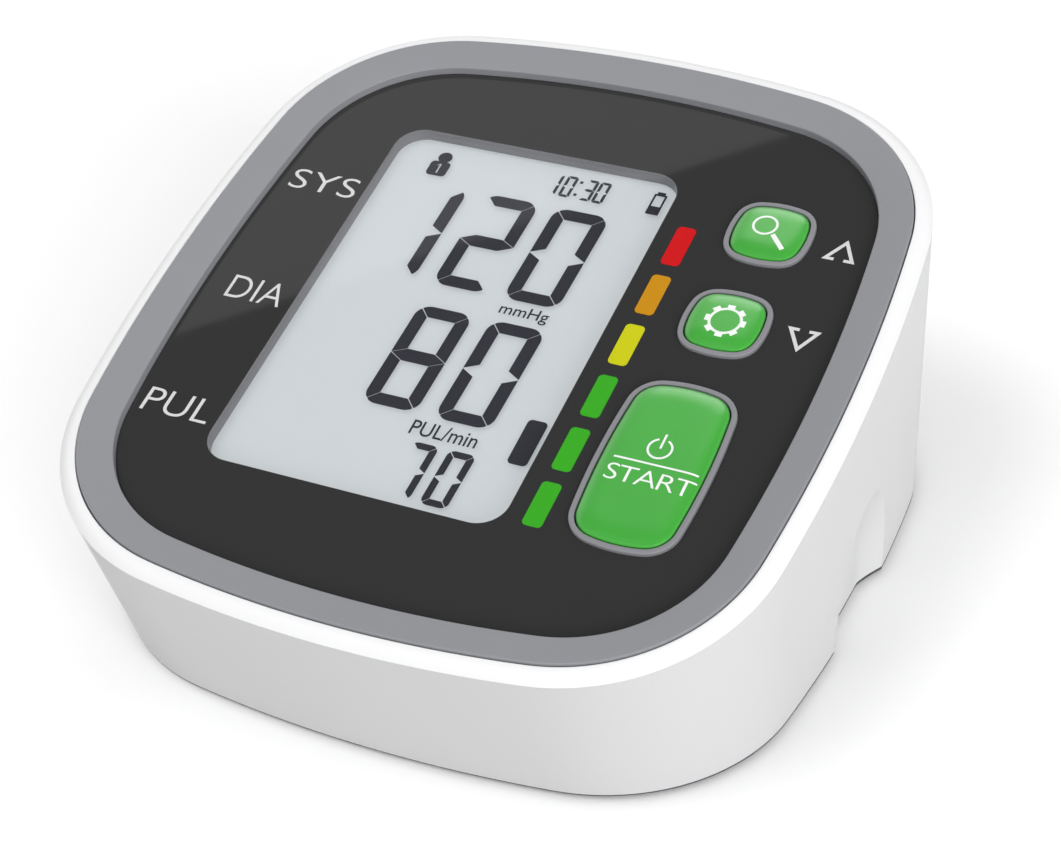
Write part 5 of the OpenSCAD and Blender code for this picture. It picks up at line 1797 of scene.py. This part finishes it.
@dataclass(frozen=True)
class Studio:
    """Camera, floor and soft light. Lengths are in millimetres."""

    face: Face
    camera_at: tuple[float, float, float] = (160.81, -310.81, 270.81)
    camera_aim: tuple[float, float, float] = (-36.968, 79.654, -36.696)
    camera_roll: float = -2.93
    focal_length: float = 84.5
    sensor_w: float = 36.0
    clip: Point = (10.0, 50000.0)
    floor_half: float = 3000.0
    floor_seen: float = 0.95
    floor_bounce: float = 0.2
    floor_lift: float = 0.05
    sky_low: float = 0.18
    sky_high: float = 0.93
    seen_white: float = 1.0
    mirrored_side: float = 0.88
    mirrored_top: float = 0.12
    mirrored_from: float = 0.45
    mirrored_to: float = 0.78
    card_far: float = 900.0
    card_size: tuple[float, float] = (1700.0, 1000.0)
    card_radiance: float = 0.5
    streak: tuple[Point, Point] = ((-54.6, -17.3), (31.8, 56.9))
    bright_spot: Point = (-45.0, 45.0)
    lamps: tuple[Lamp, ...] = (Lamp("key", (-0.3, -0.42, 0.86), 0.26, 26),
                               Lamp("fill", (0.72, -0.67, 0.2), 0.9, 46))
    sheen: Lamp = Lamp("sheen", (-0.17, 0.66, 0.72), 0.22, 36)

    def camera(self) -> None:
        """Places the camera at the viewing angle and makes it the scene's camera."""
        data = bpy.data.cameras.new("camera")
        data.lens = self.focal_length
        data.sensor_width = self.sensor_w
        data.clip_start, data.clip_end = (end * MM for end in self.clip)
        camera = in_scene("camera", data)
        place, aim = Vector(self.camera_at), Vector(self.camera_aim)
        turn = (aim - place).to_track_quat("-Z", "Y").to_matrix().to_4x4()
        roll = Matrix.Rotation(math.radians(self.camera_roll), 4, "Z")
        camera.matrix_world = Matrix.Translation(place * MM) @ turn @ roll
        bpy.context.scene.camera = camera

    def graded(self, tree: bpy.types.NodeTree, height: bpy.types.NodeSocket, start: float, stop: float,
               low: float, high: float) -> bpy.types.NodeSocket:
        """Adds nodes for a brightness that changes with the height of the ray's direction.

        Args:
            tree: The world's nodes.
            height: The direction's Z.
            start: Height where the change starts.
            stop: Height where it ends.
            low: Brightness below the change.
            high: Brightness above it.

        Returns:
            The socket with the brightness.
        """
        grade = tree.nodes.new("ShaderNodeMapRange")
        grade.inputs["From Min"].default_value = start
        grade.inputs["From Max"].default_value = stop
        grade.inputs["To Min"].default_value = low
        grade.inputs["To Max"].default_value = high
        tree.links.new(height, grade.inputs["Value"])
        return grade.outputs["Result"]

    def choice(self, tree: bpy.types.NodeTree, pick: bpy.types.NodeSocket, off: bpy.types.NodeSocket,
               on: bpy.types.NodeSocket) -> bpy.types.NodeSocket:
        """Adds a node that gives one brightness or the other.

        Args:
            tree: The world's nodes.
            pick: 0 for the first brightness, 1 for the second.
            off: The first brightness.
            on: The second brightness.

        Returns:
            The socket with the brightness.
        """
        mix = tree.nodes.new("ShaderNodeMix")
        mix.data_type = "FLOAT"
        tree.links.new(pick, mix.inputs["Factor"])
        tree.links.new(off, mix.inputs["A"])
        tree.links.new(on, mix.inputs["B"])
        return mix.outputs["Result"]

    def world(self) -> None:
        """Lights the object from above and all round, and shows white behind it."""
        world = bpy.data.worlds.new("studio")
        world.use_nodes = True
        bpy.context.scene.world = world
        tree = world.node_tree
        path = tree.nodes.new("ShaderNodeLightPath")
        split = tree.nodes.new("ShaderNodeSeparateXYZ")
        tree.links.new(tree.nodes.new("ShaderNodeTexCoord").outputs["Generated"], split.inputs[0])
        height = split.outputs["Z"]
        lit = self.graded(tree, height, 0, 1, self.sky_low, self.sky_high)
        mirrored = self.graded(tree, height, self.mirrored_from, self.mirrored_to, self.mirrored_side,
                               self.mirrored_top)
        white = tree.nodes.new("ShaderNodeValue").outputs[0]
        white.default_value = self.seen_white
        strength = self.choice(tree, path.outputs["Is Glossy Ray"], lit, mirrored)
        for kind in ("Is Transmission Ray", "Is Camera Ray"):
            strength = self.choice(tree, path.outputs[kind], strength, white)
        tree.links.new(strength, tree.nodes["Background"].inputs["Strength"])
        tree.nodes["Background"].inputs["Color"].default_value = (1, 1, 1, 1)

    def floor(self) -> None:
        """Lays the floor: near white to the camera, with its shadows, and a dark grey as a reflector."""
        half = self.floor_half
        mesh = bpy.data.meshes.new("floor")
        corners = [(-half, -half), (half, -half), (half, half), (-half, half)]
        mesh.from_pydata([Vector((x, y, 0)) * MM for x, y in corners], [], [(0, 1, 2, 3)])
        material = bpy.data.materials.new("floor_white")
        material.use_nodes = True
        tree = material.node_tree
        shader = tree.nodes["Principled BSDF"]
        shader.inputs["Roughness"].default_value = 0.9
        shader.inputs["Specular IOR Level"].default_value = 0.0
        shader.inputs["Emission Color"].default_value = (1, 1, 1, 1)
        path = tree.nodes.new("ShaderNodeLightPath")
        tone = tree.nodes.new("ShaderNodeMix")
        tone.data_type = "RGBA"
        tone.inputs["A"].default_value = (*[self.floor_seen] * 3, 1)
        tone.inputs["B"].default_value = (*[self.floor_bounce] * 3, 1)
        tree.links.new(path.outputs["Is Diffuse Ray"], tone.inputs["Factor"])
        tree.links.new(tone.outputs["Result"], shader.inputs["Base Color"])
        shine = tree.nodes.new("ShaderNodeMapRange")
        shine.inputs["To Min"].default_value = self.floor_lift
        shine.inputs["To Max"].default_value = 0.0
        tree.links.new(path.outputs["Is Diffuse Ray"], shine.inputs["Value"])
        tree.links.new(shine.outputs["Result"], shader.inputs["Emission Strength"])
        mesh.materials.append(material)
        floor = in_scene("floor", mesh)

    def reflected(self, way: Vector) -> Vector:
        """Turns a direction back at the panel's plane."""
        normal = self.face.at(0, 0, 1) - self.face.at(0, 0, 0)
        return way - 2 * way.dot(normal) * normal

    def mirrored(self, spot: Point, far: float, facing: Vector) -> Vector:
        """Finds where the camera sees a plane in the panel's gloss.

        Args:
            spot: The point on the panel.
            far: How far the plane stands from the panel's middle.
            facing: The plane's direction from there.

        Returns:
            The point on the plane, in the object's millimetres.
        """
        place = self.face.at(*spot, 0)
        ray = self.reflected((place - Vector(self.camera_at)).normalized())
        middle = self.face.at(0, 0, 0)
        reach = (far - (place - middle).dot(facing)) / ray.dot(facing)
        return place + ray * reach

    def card(self) -> None:
        """Hangs a bright card, seen in gloss alone, whose straight edge crosses the panel."""
        facing = self.reflected((self.face.at(0, 0, 0) - Vector(self.camera_at)).normalized())
        start, stop = (self.mirrored(spot, self.card_far, facing) for spot in self.streak)
        along = (stop - start).normalized()
        bright = self.mirrored(self.bright_spot, self.card_far, facing)
        away = facing.cross(along).normalized()
        if (bright - start).dot(away) < 0:
            away = -away
        width, height = self.card_size
        light = bpy.data.lights.new("card", "AREA")
        light.shape = "RECTANGLE"
        light.size, light.size_y = width * MM, height * MM
        light.energy = self.card_radiance * math.pi * light.size * light.size_y
        card = in_scene("card", light)
        turn = Matrix((along, facing.cross(along), facing)).transposed().to_4x4()
        middle = (start + stop) / 2 + away * height / 2
        card.matrix_world = Matrix.Translation(middle * MM) @ turn
        card.visible_diffuse = False

    def build(self, caps: Iterable[bpy.types.Object]) -> None:
        """Sets the whole studio up, with a soft sheen on the keys' caps.

        Args:
            caps: The keys' caps.
        """
        bpy.context.scene.view_settings.view_transform = "Standard"
        self.camera()
        self.world()
        self.floor()
        self.card()
        for lamp in self.lamps:
            lamp.hang()
        self.sheen.hang(caps)


# ------------------------------------------------------------------ the whole object


def face_of_frame() -> Face:
    """Reads the face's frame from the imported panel, whose tilt is the casing's own."""
    low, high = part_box("face_panel")
    middle = (low + high) / 2 / MM
    angle = math.radians(FACE_TILT)
    return Face(middle.y - PANEL_T / 2 * math.sin(angle), middle.z + PANEL_T / 2 * math.cos(angle),
                FACE_TILT)


def dress_nodes() -> None:
    """Gives each CAD node that stays its finish."""
    for finish_name, nodes in NODE_FINISHES.items():
        material = getattr(FINISHES, finish_name).material()
        for name in nodes:
            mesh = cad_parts[name].data
            mesh.materials.clear()
            mesh.materials.append(material)
            log.info("%s: %s", name, finish_name)


def socket_holes(casing: Casing) -> list[Hole]:
    """Finds the holes for the hose socket and the power jack from the frame.

    Args:
        casing: The upper case.

    Returns:
        The holes.
    """
    gap, outward = 0.1, 2.0
    flange_t, body_r, body_l = 1.4, 5.0, 8.0
    nose_r, jack_reach = 4.0, 4.0
    socket_low, socket_high = (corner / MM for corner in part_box("air_socket"))
    middle = (socket_low + socket_high) / 2
    flange_r = (socket_high.y - socket_low.y) / 2
    outside = Vector((-casing.rim.half_w - outward, middle.y, middle.z))
    pocket = Hole(outside, Vector((socket_low.x + flange_t - outside.x, 0, 0)), flange_r + gap)
    way = Hole(outside, Vector((socket_low.x + body_l - outside.x, 0, 0)), body_r + gap)
    jack_low, jack_high = (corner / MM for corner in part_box("dc_jack"))
    middle = (jack_low + jack_high) / 2
    rear = Vector((middle.x, jack_high.y + jack_reach, middle.z))
    jack = Hole(rear, Vector((0, -casing.wall * 2 - jack_reach, 0)), nose_r + gap)
    return [pocket, way, jack]


def main() -> None:
    """Builds every sub-assembly in order and reports each piece."""
    face = face_of_frame()
    casing = Casing(face)
    casing.deck_holes = [FRAME_HOLE.outline(), *[key.outline(key.bezel_w) for key in KEYS]]
    casing.wall_holes = socket_holes(casing)
    dress_nodes()
    casing.dress()
    TrimRing(casing).dress()
    FacePanel(face, casing, KEYS).dress()
    caps = KeySet(face, KEYS).dress()
    Display(face).dress()
    ColourScale(face).dress()
    Studio(face).build(caps)


if __name__ == "__main__":
    main()
